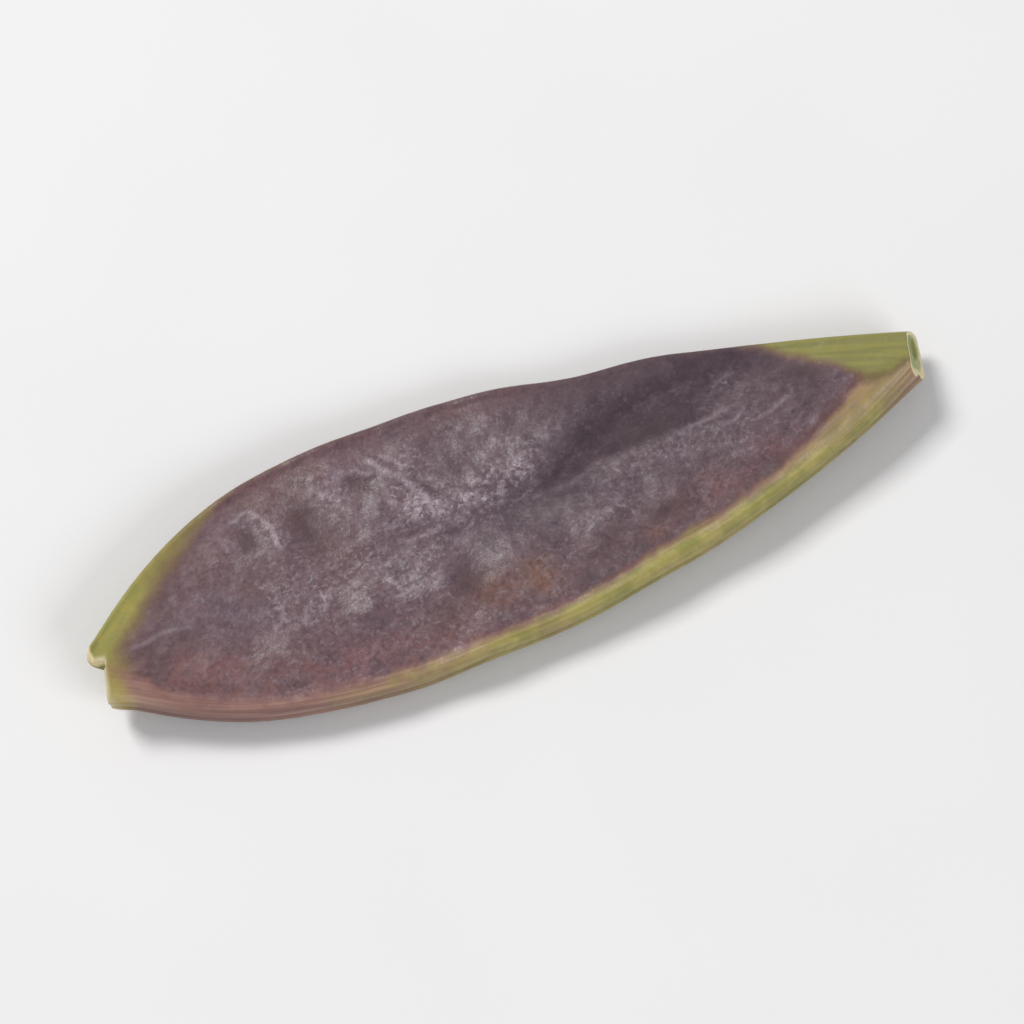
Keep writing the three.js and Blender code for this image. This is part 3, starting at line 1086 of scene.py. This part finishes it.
    def build(self, material: bpy.types.Material) -> bpy.types.Object:
        """Makes the body.

        Args:
            material: Its skin.

        Returns:
            The finished object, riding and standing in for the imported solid.
        """
        rings = self.rings()
        ring_count = len(rings["x"])
        place = np.stack([rings[axis].ravel() for axis in "xyz"], axis=1)
        slit_floors = [place[: self.around].mean(0), place[-self.around :].mean(0)]
        mesh = bpy.data.meshes.new(self.name)
        mesh.from_pydata((np.concatenate([place, slit_floors]) * METRES).tolist(), [], self.faces(ring_count))
        mesh.polygons.foreach_set("use_smooth", np.ones(len(mesh.polygons), dtype=bool))
        for key in sorted(rings.keys() - set("xyz")):
            values = np.concatenate([rings[key].ravel(), rings[key][0, :1], rings[key][-1, :1]])
            layer = mesh.attributes.new(key, "FLOAT", "POINT")
            layer.data.foreach_set("value", values.astype(np.float32))
        self.lay_map(mesh, ring_count)
        mesh.validate()
        mesh.materials.append(material)
        body = added(self.name, mesh)
        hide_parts(NODE)
        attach(body, BODY)
        return body


# ---- Shader graphs
class Value:
    """One output of a shader graph. Arithmetic on it adds Math nodes."""

    solid_line = 0.25  # share of a line's width that doesn't fade

    def __init__(self, graph: "Graph", socket: bpy.types.NodeSocket) -> None:
        """Wraps an output socket of a graph."""
        self.graph = graph
        self.socket = socket

    def math(self, operation: str, *terms: "Value | float") -> "Value":
        """Adds one Math node, with its inputs in order, and returns its result."""
        return self.graph.node("ShaderNodeMath", {"operation": operation}, dict(enumerate(terms)))

    def __add__(self, other: "Value | float") -> "Value":
        """Adds."""
        return self.math("ADD", self, other)

    def __sub__(self, other: "Value | float") -> "Value":
        """Subtracts."""
        return self.math("SUBTRACT", self, other)

    def __rsub__(self, other: float) -> "Value":
        """Subtracts this from a number."""
        return self.math("SUBTRACT", other, self)

    def __mul__(self, other: "Value | float") -> "Value":
        """Multiplies."""
        return self.math("MULTIPLY", self, other)

    __radd__ = __add__
    __rmul__ = __mul__

    def most(self, other: "Value | float") -> "Value":
        """Returns the larger of two values."""
        return self.math("MAXIMUM", self, other)

    def least(self, other: "Value | float") -> "Value":
        """Returns the smaller of two values."""
        return self.math("MINIMUM", self, other)

    def step(self, low: float, high: float) -> "Value":
        """Eases from 0 where this is low to 1 where it is high."""
        inputs = {"Value": self, "From Min": low, "From Max": high}
        return self.graph.node("ShaderNodeMapRange", {"interpolation_type": "SMOOTHSTEP"}, inputs)

    def within(self, low: float, high: float) -> "Value":
        """Turns a share from 0 to 1 into a value from low to high."""
        return self * (high - low) + low

    def contour(self, at: float, width: float) -> "Value":
        """Draws lines, fading out over a width, where this crosses a level."""
        off = self - at
        return 1.0 - off.math("ABSOLUTE", off).step(self.solid_line * width, width)


Input = Value | float | tuple[float, ...]


@dataclass(frozen=True)
class Pattern:
    """Noise about 0.5: its size in millimetres, its finer layers, their strength, and how it is stretched.

    One that rises eases from 0 to 1 between two values of the noise.
    """

    size: float
    detail: float = 2.0
    rough: float = 0.6
    rise: Span | None = None
    stretch: Span | None = None


class Graph:
    """A material's nodes."""

    plain: Pattern = Pattern(1.0 / METRES, rough=0.5)

    def __init__(self, name: str) -> None:
        """Makes an empty material.

        Args:
            name: The material's name.
        """
        self.material = bpy.data.materials.new(name)
        self.material.use_nodes = True
        self.tree = self.material.node_tree
        self.tree.nodes.clear()
        self.place = self.node("ShaderNodeTexCoord", {}, {}, "Object")

    def node(
        self, kind: str, settings: dict[str, Any], inputs: dict[str | int, Input], output: str | int = 0
    ) -> Value:
        """Adds one node.

        Args:
            kind: The node's type.
            settings: Its own settings, which are set first.
            inputs: A value or a link for each socket that needs one.
            output: Which output to return.

        Returns:
            That output.
        """
        made = self.tree.nodes.new(kind)
        for key, setting in settings.items():
            setattr(made, key, setting)
        for key, value in inputs.items():
            if isinstance(value, Value):
                self.tree.links.new(value.socket, made.inputs[key])
            else:
                made.inputs[key].default_value = value
        return Value(self, made.outputs[output])

    def field(self, name: str) -> Value:
        """Returns one of the mesh's own fields."""
        return self.node("ShaderNodeAttribute", {"attribute_name": name}, {}, "Fac")

    def mix(self, share: Value | float, base: Input, cover: Input) -> Value:
        """Mixes a share of one colour over another. Sockets 6, 7 and 2 are the node's colours."""
        return self.node("ShaderNodeMix", {"data_type": "RGBA"}, {0: share, 6: base, 7: cover}, 2)

    def painted(self, colour: Input, *layers: tuple[Value, Input]) -> Value:
        """Returns a colour with layers over it, each by its share and colour."""
        return reduce(lambda under, layer: self.mix(layer[0], under, layer[1]), layers, colour)

    def stretched(self, along: float, across: float) -> Value:
        """Returns the place on the pod, squeezed so that a pattern there looks longer along or across."""
        scale = (1.0 / along, 1.0 / across, 1.0 / across)
        return self.node("ShaderNodeVectorMath", {"operation": "MULTIPLY"}, {0: self.place, 1: scale})

    def noise(self, pattern: Pattern, place: Value | None = None) -> Value:
        """Adds noise.

        Args:
            pattern: Its pattern.
            place: Where it is read, if not at the point's own place.

        Returns:
            Its value.
        """
        place = self.stretched(*pattern.stretch) if pattern.stretch else place or self.place
        inputs = {"Vector": place, "Scale": 1.0 / (pattern.size * METRES)}
        inputs |= {"Detail": pattern.detail, "Roughness": pattern.rough}
        noise = self.node("ShaderNodeTexNoise", {}, inputs, "Fac")
        return noise.step(*pattern.rise) if pattern.rise else noise

    def fibres(self, edge: str, length: float, width: float) -> Value:
        """Adds noise in streaks of a length and width in millimetres, which run with an edge of the pod."""
        inputs = {"X": self.field("along") * (LENGTH / length), "Y": self.field(edge) * (1.0 / width)}
        return self.noise(self.plain, self.node("ShaderNodeCombineXYZ", {}, inputs))

    def bump(self, height: Value, depth: float) -> Value:
        """Turns a height into a shading normal, a height of 1 standing for a depth in millimetres."""
        inputs = {"Height": height, "Strength": 1.0, "Distance": depth * METRES}
        return self.node("ShaderNodeBump", {}, inputs, "Normal")

    def surface(self, inputs: dict[str | int, Input]) -> bpy.types.Material:
        """Ends the graph in a surface.

        Args:
            inputs: The surface shader's inputs.

        Returns:
            The finished material.
        """
        shader = self.node("ShaderNodeBsdfPrincipled", {}, inputs)
        end = self.tree.nodes.new("ShaderNodeOutputMaterial")
        self.tree.links.new(shader.socket, end.inputs["Surface"])
        return self.material


# ---- Finishes
class PodSkin(Graph):
    """Dull purple skin with a waxy bloom, green and tan along the sutures, and pale flesh in the cuts."""

    # Colours
    purple: Colour = srgb(103, 79, 88)
    brown: Colour = srgb(104, 80, 77)
    slate: Colour = srgb(92, 76, 84)
    deep: Colour = srgb(60, 46, 55)
    umber: Colour = srgb(76, 56, 56)
    bloom: Colour = srgb(160, 146, 155)
    frost_glint: Colour = srgb(190, 178, 186)
    blush: Colour = srgb(126, 86, 84)
    amber: Colour = srgb(134, 92, 68)
    rim: Colour = srgb(104, 74, 74)
    pink: Colour = srgb(158, 122, 110)
    blossom: Colour = srgb(174, 142, 128)
    rust: Colour = srgb(104, 68, 62)
    tan: Colour = srgb(172, 140, 112)
    straw: Colour = srgb(162, 146, 74)
    cream: Colour = srgb(216, 202, 168)
    green: Colour = srgb(166, 154, 90)
    leaf: Colour = srgb(136, 132, 68)
    moss: Colour = srgb(148, 144, 74)
    fern: Colour = srgb(120, 118, 70)
    olive: Colour = srgb(124, 106, 70)
    flesh: Colour = srgb(222, 206, 160)
    inner: Colour = srgb(128, 142, 66)
    # Patterns of noise, and where they show
    clouds: Pattern = Pattern(5.5, 3.0, rise=(0.38, 0.62))
    mottle: Pattern = Pattern(1.5, 3.0)
    blots: Pattern = Pattern(2.6, 3.0)
    blush_blots: Span = (0.38, 0.6)
    dark_blots: Span = (0.34, 0.5)
    pores: Pattern = Pattern(0.4, rise=(0.36, 0.56))
    speckle: Pattern = Pattern(0.3, rough=0.7, rise=(0.42, 0.66))
    dots: Pattern = Pattern(0.62, rise=(0.5, 0.6))
    gathers: Pattern = Pattern(2.4, rise=(0.3, 0.66))
    sparks: Pattern = Pattern(0.42, 1.0, 0.5, (0.56, 0.68))
    coarse_threads: Pattern = Pattern(1.5, rough=0.55, stretch=(2.4, 1.0))
    coarse_lines: Span = (0.5, 0.075)
    fine_threads: Pattern = Pattern(0.9, stretch=(1.3, 0.8))
    fine_lines: Span = (0.49, 0.09)
    breaks: Pattern = Pattern(1.1, rise=(0.42, 0.6))
    rubbed_from: Span = (0.8, 3.0)
    wander: Pattern = Pattern(1.3, 3.0)
    beads: Pattern = Pattern(1.8, rise=(0.36, 0.62))
    lumps: Pattern = Pattern(2.2, 1.0, 0.5)
    ventral_fibres: Span = (9.0, 0.28)
    ventral_streaks: Span = (0.34, 0.66)
    tan_streaks: Span = (0.54, 0.7)
    dorsal_fibres: Span = (7.0, 0.5)
    dorsal_streaks: Span = (0.36, 0.64)
    dorsal_noise: Pattern = Pattern(1.6, 3.0)
    spots: Pattern = Pattern(1.2, rise=(0.5, 0.64))
    cut_fibre: Pattern = Pattern(0.25, 3.0)
    fine_grain: Pattern = Pattern(0.28, 3.0)
    soft_grain: Pattern = Pattern(0.75, rough=0.5)
    # How much each colour covers on the open wall
    # The first three set the painted shade: how the mottle breaks it up, and how dark it gets at most
    dark_mottle: float = 1.6
    dark_from: float = 0.02
    darkest: float = 0.92
    cloud_share: float = 0.5
    slate_share: float = 0.75
    blush_patches: Span = (0.5, 1.0)
    blush_share: float = 0.75
    amber_patches: Span = (0.4, 1.2)
    blot_share: float = 0.35
    pore_share: float = 0.35
    dent_patches: Span = (0.2, 0.8)
    # The wax, with painted highlights along the folds and painted glints
    rubbed_dent: float = 0.9
    gathered: Span = (0.4, 1.0)
    speckle_share: float = 0.15
    dot_share: float = 0.45
    thread_share: float = 0.8
    mottle_share: float = 0.1
    web_share: float = 0.12
    fold_share: float = 0.6
    dimmed_lines: float = 0.7
    spark_share: float = 0.6
    coarse_share: float = 0.6
    fine_share: float = 0.8
    broken: Span = (0.15, 1.0)
    # The ventral side: shares, and how far inside a band its edge frays and fades
    stem_half: Span = (0.7, 0.84)
    rand_wander: float = 0.6
    rand_fade: Span = (0.1, 0.75)
    seam_streaks: float = 0.25
    seam_beads: float = 0.7
    rand_share: float = 0.4
    tan_share: float = 0.5
    pink_until: Span = (0.2, 0.3)
    rind_streaks: Span = (0.4, 0.9)
    straw_until: Span = (0.01, 0.035)
    straw_share: float = 0.85
    lining_fray: float = 2.4
    lining_fade: Span = (-1.0, 0.3)
    lining_beads: float = 0.7
    lining_green: float = 0.75
    green_wander: float = 0.9
    green_fade: Span = (0.15, 0.85)
    lumps_from: Span = (0.5, 0.62)
    lump_size: float = 0.8
    edge_wander: float = 1.1
    edge_fade: Span = (-0.4, 0.5)
    rust_wander: float = 1.2
    rust_beyond: float = 0.7
    rust_fade: Span = (-0.5, 0.4)
    rust_share: float = 0.55
    band_wander: float = 0.9
    band_fade: Span = (-0.4, 0.5)
    band_share: float = 0.85
    # The dorsal side
    dorsal_wander: float = 0.8
    spot_share: float = 0.55
    yellow_from: Span = (1.6, 3.0)
    yellow_share: float = 0.7
    dorsal_stem_half: Span = (0.6, 0.8)
    fern_streaks: float = 0.45
    fern_late: float = 0.35
    drab_tip: Span = (0.04, 0.17)
    drab_tip_share: float = 0.7
    brown_beyond: float = 0.9
    brown_fade: Span = (-0.3, 0.5)
    brown_share: float = 0.6
    drab_beyond: float = 0.4
    drab_fade: Span = (-0.4, 0.4)
    drab_share: float = 0.8
    moss_fade: Span = (-0.3, 0.6)
    # The cuts
    cut_fray: float = 0.5
    core_fade: Span = (0.25, 0.6)
    core_share: float = 0.8
    slit_share: float = 0.9
    nub_fade: Span = (0.2, 0.6)
    groove_share: float = 0.5
    rim_share: float = 0.8
    # Gloss and grain
    rough_grain: Span = (0.3, 0.7)
    rough_in_grain: float = 0.12
    rough_in_bloom: float = 0.06
    rough_in_flesh: float = 0.1
    roughness: float = 0.33
    smooth_fade: Span = (-0.5, 0.2)
    smooth_bands: float = 0.8
    crinkles: Span = (0.25, 1.05)
    thread_height: float = 0.4
    fine_height: float = 0.35
    refraction: float = 1.42
    light_within: float = 0.06
    light_reach: tuple[float, float, float] = (1.0, 0.6, 0.4)
    depth_of_light: float = 0.0008
    gloss: float = 0.12
    gloss_roughness: float = 0.38
    down: float = 0.06
    down_roughness: float = 0.5
    grain_depth: float = 0.1

    def face(self) -> Value:
        """Colours the open wall: purple and brown clouds, painted shade in the hollows, speckled bloom.

        Returns:
            The colour.
        """
        clouds = self.noise(self.clouds)
        mottle = self.noise(self.mottle)
        pores = self.noise(self.pores)
        blots = self.noise(self.blots)
        blushed = blots.step(*self.blush_blots).within(*self.blush_patches)
        # Painted shade in the valley's hollow, broken up by the mottle, laid last in the deep colour
        dark = self.field("shade") * (mottle * self.dark_mottle - self.dark_from)
        colour = self.painted(
            self.purple,
            (clouds * self.cloud_share, self.brown),
            (self.field("slate") * self.slate_share, self.slate),
            (self.field("blush") * blushed * self.blush_share, self.blush),
            (self.field("amber") * mottle.within(*self.amber_patches), self.amber),
            ((1.0 - blots.step(*self.dark_blots)) * self.blot_share, self.deep),
            ((1.0 - pores) * self.pore_share, self.deep),
            # Umber in the dents: the pits' own brown, with painted shade in them
            (self.field("dent") * mottle.within(*self.dent_patches), self.umber),
            (dark.least(self.darkest), self.deep),
        )
        return self.waxed(colour, mottle)

    def waxed(self, colour: Value, mottle: Value) -> Value:
        """Lays the bloom over the skin, in speckles and fine threads that gather in patches, with painted
        highlights along the folds and painted glints.

        Args:
            colour: The skin under it.
            mottle: Soft noise that parts the bloom.

        Returns:
            The colour.
        """
        speckle = self.noise(self.speckle)
        dots = self.noise(self.dots)
        gathered = self.noise(self.gathers)
        rubbed = self.field("dorsal").step(*self.rubbed_from) * (1.0 - self.field("dent") * self.rubbed_dent)
        bloom = self.field("bloom") * gathered.within(*self.gathered) * rubbed
        wax = speckle * self.speckle_share + dots * self.dot_share + self.threads() * self.thread_share
        cover = bloom * (wax + mottle * self.mottle_share)
        # Pale lines along the fine folds and wrinkles: wax on their crests and painted highlights, dimmed in
        # the painted shade
        lines = self.field("web") * self.web_share + self.field("fold") * self.fold_share
        cover = cover + lines * (1.0 - self.field("shade") * self.dimmed_lines)
        # Bright specks in the bloom: flecks of wax and painted glints
        sparks = self.noise(self.sparks) * bloom * self.spark_share
        return self.painted(colour, (cover.least(1.0), self.bloom), (sparks, self.frost_glint))

    def threads(self) -> Value:
        """Draws fine squiggly lines, where the wax has rubbed up; in the colour they are also painted
        highlights on fine ridges.

        Returns:
            How much of a line each point has.
        """
        coarse = self.noise(self.coarse_threads).contour(*self.coarse_lines)
        fine = self.noise(self.fine_threads).contour(*self.fine_lines)
        broken = self.noise(self.breaks)
        lines = (coarse * self.coarse_share).most(fine * self.fine_share)
        return lines * broken.within(*self.broken)

    def ventral_side(self, colour: Value) -> Value:
        """Lays the ventral bands over the face: tan inside, and pink turning green along the seam.

        Args:
            colour: The face.

        Returns:
            The colour.
        """
        wander = self.noise(self.wander) - 0.5
        fibres = self.fibres("ventral", *self.ventral_fibres)
        streaks = fibres.step(*self.ventral_streaks)
        beads = self.noise(self.beads)
        lumps = self.noise(self.lumps) - 0.5
        place, outer, inner = self.field("along"), self.field("ventral_band"), self.field("inner_band")
        late = place.step(*self.stem_half)
        rand = 1.0 - (outer + wander * self.rand_wander).step(*self.rand_fade)
        seam = self.painted(
            self.leaf,
            (streaks * self.seam_streaks + beads * self.seam_beads, self.green),
            (rand * self.rand_share, self.rim),
            (fibres.step(*self.tan_streaks) * self.tan_share, self.tan),
        )
        pale = self.mix(place.step(*self.pink_until), self.pink, self.tan)
        rind = self.mix(streaks.within(*self.rind_streaks), self.rim, pale)
        rind = self.mix((1.0 - place.step(*self.straw_until)) * self.straw_share, rind, self.straw)
        outward = (outer + (fibres - 0.5) * self.lining_fray).step(*self.lining_fade)
        lining = self.mix(beads * self.lining_beads, self.blossom, self.tan)
        lining = self.mix(outward * self.lining_green, lining, self.mix(beads, self.leaf, self.straw))
        green = (self.field("greenness") + wander * self.green_wander).step(*self.green_fade)
        lumpy = lumps * place.step(*self.lumps_from) * self.lump_size
        edge = (outer + wander * self.edge_wander + lumpy).step(*self.edge_fade)
        rust = (inner + wander * self.rust_wander + self.rust_beyond).step(*self.rust_fade)
        band = (inner + wander * self.band_wander).step(*self.band_fade)
        return self.painted(
            colour,
            (rust * late * self.rust_share, self.rust),
            (band * self.band_share, self.mix(late, self.blush, lining)),
            (edge, self.mix(green, rind, seam)),
        )

    def dorsal_side(self, colour: Value) -> Value:
        """Lays the green ends of the dorsal suture and its brown line over the face.

        Args:
            colour: The face.

        Returns:
            The colour.
        """
        band = self.field("dorsal_band") + (self.noise(self.dorsal_noise) - 0.5) * self.dorsal_wander
        streaks = self.fibres("dorsal", *self.dorsal_fibres).step(*self.dorsal_streaks)
        spots = self.noise(self.spots) * self.spot_share
        yellow = (self.field("dorsal").step(*self.yellow_from) * self.yellow_share).most(spots)
        late = self.field("along").step(*self.dorsal_stem_half)
        drab_tip = self.field("along").step(*self.drab_tip)
        green = self.painted(
            self.moss,
            (streaks * self.fern_streaks + late * self.fern_late, self.fern),
            (yellow * (1.0 - late), self.straw),
            (drab_tip * (1.0 - late) * self.drab_tip_share, self.olive),
        )
        brown = (band + self.brown_beyond).step(*self.brown_fade) * self.brown_share
        drab = (band + self.drab_beyond).step(*self.drab_fade) * self.drab_share
        moss = band.step(*self.moss_fade)
        return self.painted(colour, (brown, self.rim), (drab, self.olive), (moss, green))

    def cut(self, colour: Value) -> Value:
        """Lays the flesh over the cut ends, greener and darker down the slits.

        Args:
            colour: The skin.

        Returns:
            The colour.
        """
        fibre = (self.noise(self.cut_fibre) - 0.5) * self.cut_fray
        core = (self.field("core") + fibre).step(*self.core_fade) * self.core_share
        slit = self.field("slit") * self.slit_share
        flesh = self.painted(self.flesh, (core, self.inner), (slit, self.leaf))
        bare = self.field("flesh").most((self.field("nub") + fibre).step(*self.nub_fade))
        return self.mix(bare, colour, flesh)

    def finish(self) -> bpy.types.Material:
        """Dresses the skin from the face outwards, and gives it its gloss and grain.

        Returns:
            The material.
        """
        colour = self.painted(
            self.ventral_side(self.dorsal_side(self.face())),
            (self.field("groove") * self.groove_share, self.rim),
            (self.field("rim_line") * self.rim_share, self.cream),
        )
        bloom, matt = self.field("bloom"), self.field("matt")
        fine = self.noise(self.fine_grain)
        rough = fine.step(*self.rough_grain) * self.rough_in_grain + bloom * self.rough_in_bloom + matt
        rough = rough + self.field("flesh") * self.rough_in_flesh + self.roughness
        banded = self.field("ventral_band").most(self.field("dorsal_band")).step(*self.smooth_fade)
        crinkled = bloom.within(*self.crinkles) * (1.0 - banded * self.smooth_bands)
        soft = self.noise(self.soft_grain) + self.threads() * self.thread_height
        height = fine * self.fine_height + crinkled * soft
        inputs = {
            "Base Color": self.cut(colour),
            "Roughness": rough,
            "IOR": self.refraction,
            "Subsurface Weight": self.light_within,
            "Subsurface Radius": self.light_reach,
            "Subsurface Scale": self.depth_of_light,
            "Coat Weight": self.gloss - matt * (2.0 * self.gloss),
            "Coat Roughness": self.gloss_roughness,
            "Sheen Weight": self.down,
            "Sheen Roughness": self.down_roughness,
            "Normal": self.bump(height, self.grain_depth),
        }
        return self.surface(inputs)


class Paper(Graph):
    """A pale matt sheet with the faintest tooth."""

    colour: Colour = srgb(236, 236, 237)
    shade: Colour = srgb(230, 230, 232)
    clouds: Pattern = Pattern(30.0, rough=0.5)
    fibre: Pattern = Pattern(0.6, rough=0.5)
    tooth: float = 0.01
    roughness: float = 0.85

    def finish(self) -> bpy.types.Material:
        """Colours the sheet and gives it its tooth.

        Returns:
            The material.
        """
        colour = self.mix(self.noise(self.clouds), self.colour, self.shade)
        tooth = self.bump(self.noise(self.fibre), self.tooth)
        return self.surface({"Base Color": colour, "Roughness": self.roughness, "Normal": tooth})


# ---- Stage
@dataclass(frozen=True)
class Softbox:
    """A rectangular light that faces the pod."""

    name: str
    place: tuple[float, float, float]
    size: Span
    watts: float
    tint: tuple[float, float, float]

    def build(self) -> bpy.types.Object:
        """Makes the light.

        Returns:
            It, in its place.
        """
        data = bpy.data.lights.new(self.name, "AREA")
        data.shape = "RECTANGLE"
        data.size, data.size_y = self.size
        data.energy = self.watts
        data.color = self.tint
        light = added(self.name, data)
        light.location = self.place
        light.rotation_euler = (-Vector(self.place)).to_track_quat("-Z", "Y").to_euler()
        return light


@dataclass(frozen=True)
class Studio:
    """A pale floor, soft light and the camera."""

    floor_size: float = 6.0
    floor_name: str = "floor"
    azimuth: float = -20.6
    elevation: float = 72.0
    lens: float = 180.0
    sensor: float = 36.0
    near_clip: float = 0.01
    fill: float = 0.86
    daylight: float = 0.34
    sky: Colour = (1.0, 1.0, 1.0, 1.0)
    lights: tuple[Softbox, ...] = (
        Softbox("key", (-0.36, 0.62, 0.74), (0.34, 0.3), 8.0, (1.0, 0.985, 0.96)),
        Softbox("fill", (0.40, -0.72, 0.55), (0.6, 0.4), 3.6, (0.99, 0.99, 1.0)),
    )

    def lay_floor(self) -> bpy.types.Object:
        """Makes the floor.

        Returns:
            It, under the pod.
        """
        half = self.floor_size / 2.0
        corners = [(-half, -half, 0.0), (half, -half, 0.0), (half, half, 0.0), (-half, half, 0.0)]
        mesh = bpy.data.meshes.new(self.floor_name)
        mesh.from_pydata(corners, [], [(0, 1, 2, 3)])
        mesh.materials.append(Paper("paper").finish())
        floor = added(self.floor_name, mesh)
        return floor

    def light(self) -> list[bpy.types.Object]:
        """Lights the stage, also from all round.

        Returns:
            The lights.
        """
        world = bpy.data.worlds.new("studio")
        world.use_nodes = True
        sky = world.node_tree.nodes["Background"].inputs
        sky["Color"].default_value = self.sky
        sky["Strength"].default_value = self.daylight
        bpy.context.scene.world = world
        bpy.context.scene.view_settings.view_transform = "Standard"
        return [softbox.build() for softbox in self.lights]

    def place_camera(self) -> bpy.types.Object:
        """Points the camera at the middle of the pod, whose length fills its share of the picture.

        Returns:
            The camera.
        """
        a, e = math.radians(self.azimuth), math.radians(self.elevation)
        back = Vector((math.sin(a) * math.cos(e), -math.cos(a) * math.cos(e), math.sin(e)))
        distance = LENGTH * METRES / self.fill * self.lens / self.sensor
        data = bpy.data.cameras.new("camera")
        data.lens = self.lens
        data.sensor_width = self.sensor
        data.clip_start = self.near_clip
        camera = added("camera", data)
        low, high = (Vector(corner) for corner in CAD_BOX)
        camera.location = (low + high) / 2.0 + back * distance
        camera.rotation_euler = back.to_track_quat("Z", "Y").to_euler()
        bpy.context.scene.camera = camera
        return camera


def main() -> None:
    """Builds the pod and its stage, and reports each piece."""
    logging.basicConfig(level=logging.INFO, format="%(name)s: %(message)s")
    body = PodBody(PodForm(), Relief(Grain(SEED)), Markings()).build(PodSkin("pod_skin").finish())
    log.info("%s: %d points, %d faces", body.name, len(body.data.vertices), len(body.data.polygons))
    studio = Studio()
    camera = studio.place_camera()
    log.info("%s: %.0f mm at %.3f m", camera.name, camera.data.lens, camera.location.length)
    for light in studio.light():
        log.info("%s: %.1f W", light.name, light.data.energy)
    floor = studio.lay_floor()
    log.info("%s: %.2f m", floor.name, studio.floor_size)


if __name__ == "__main__":
    main()
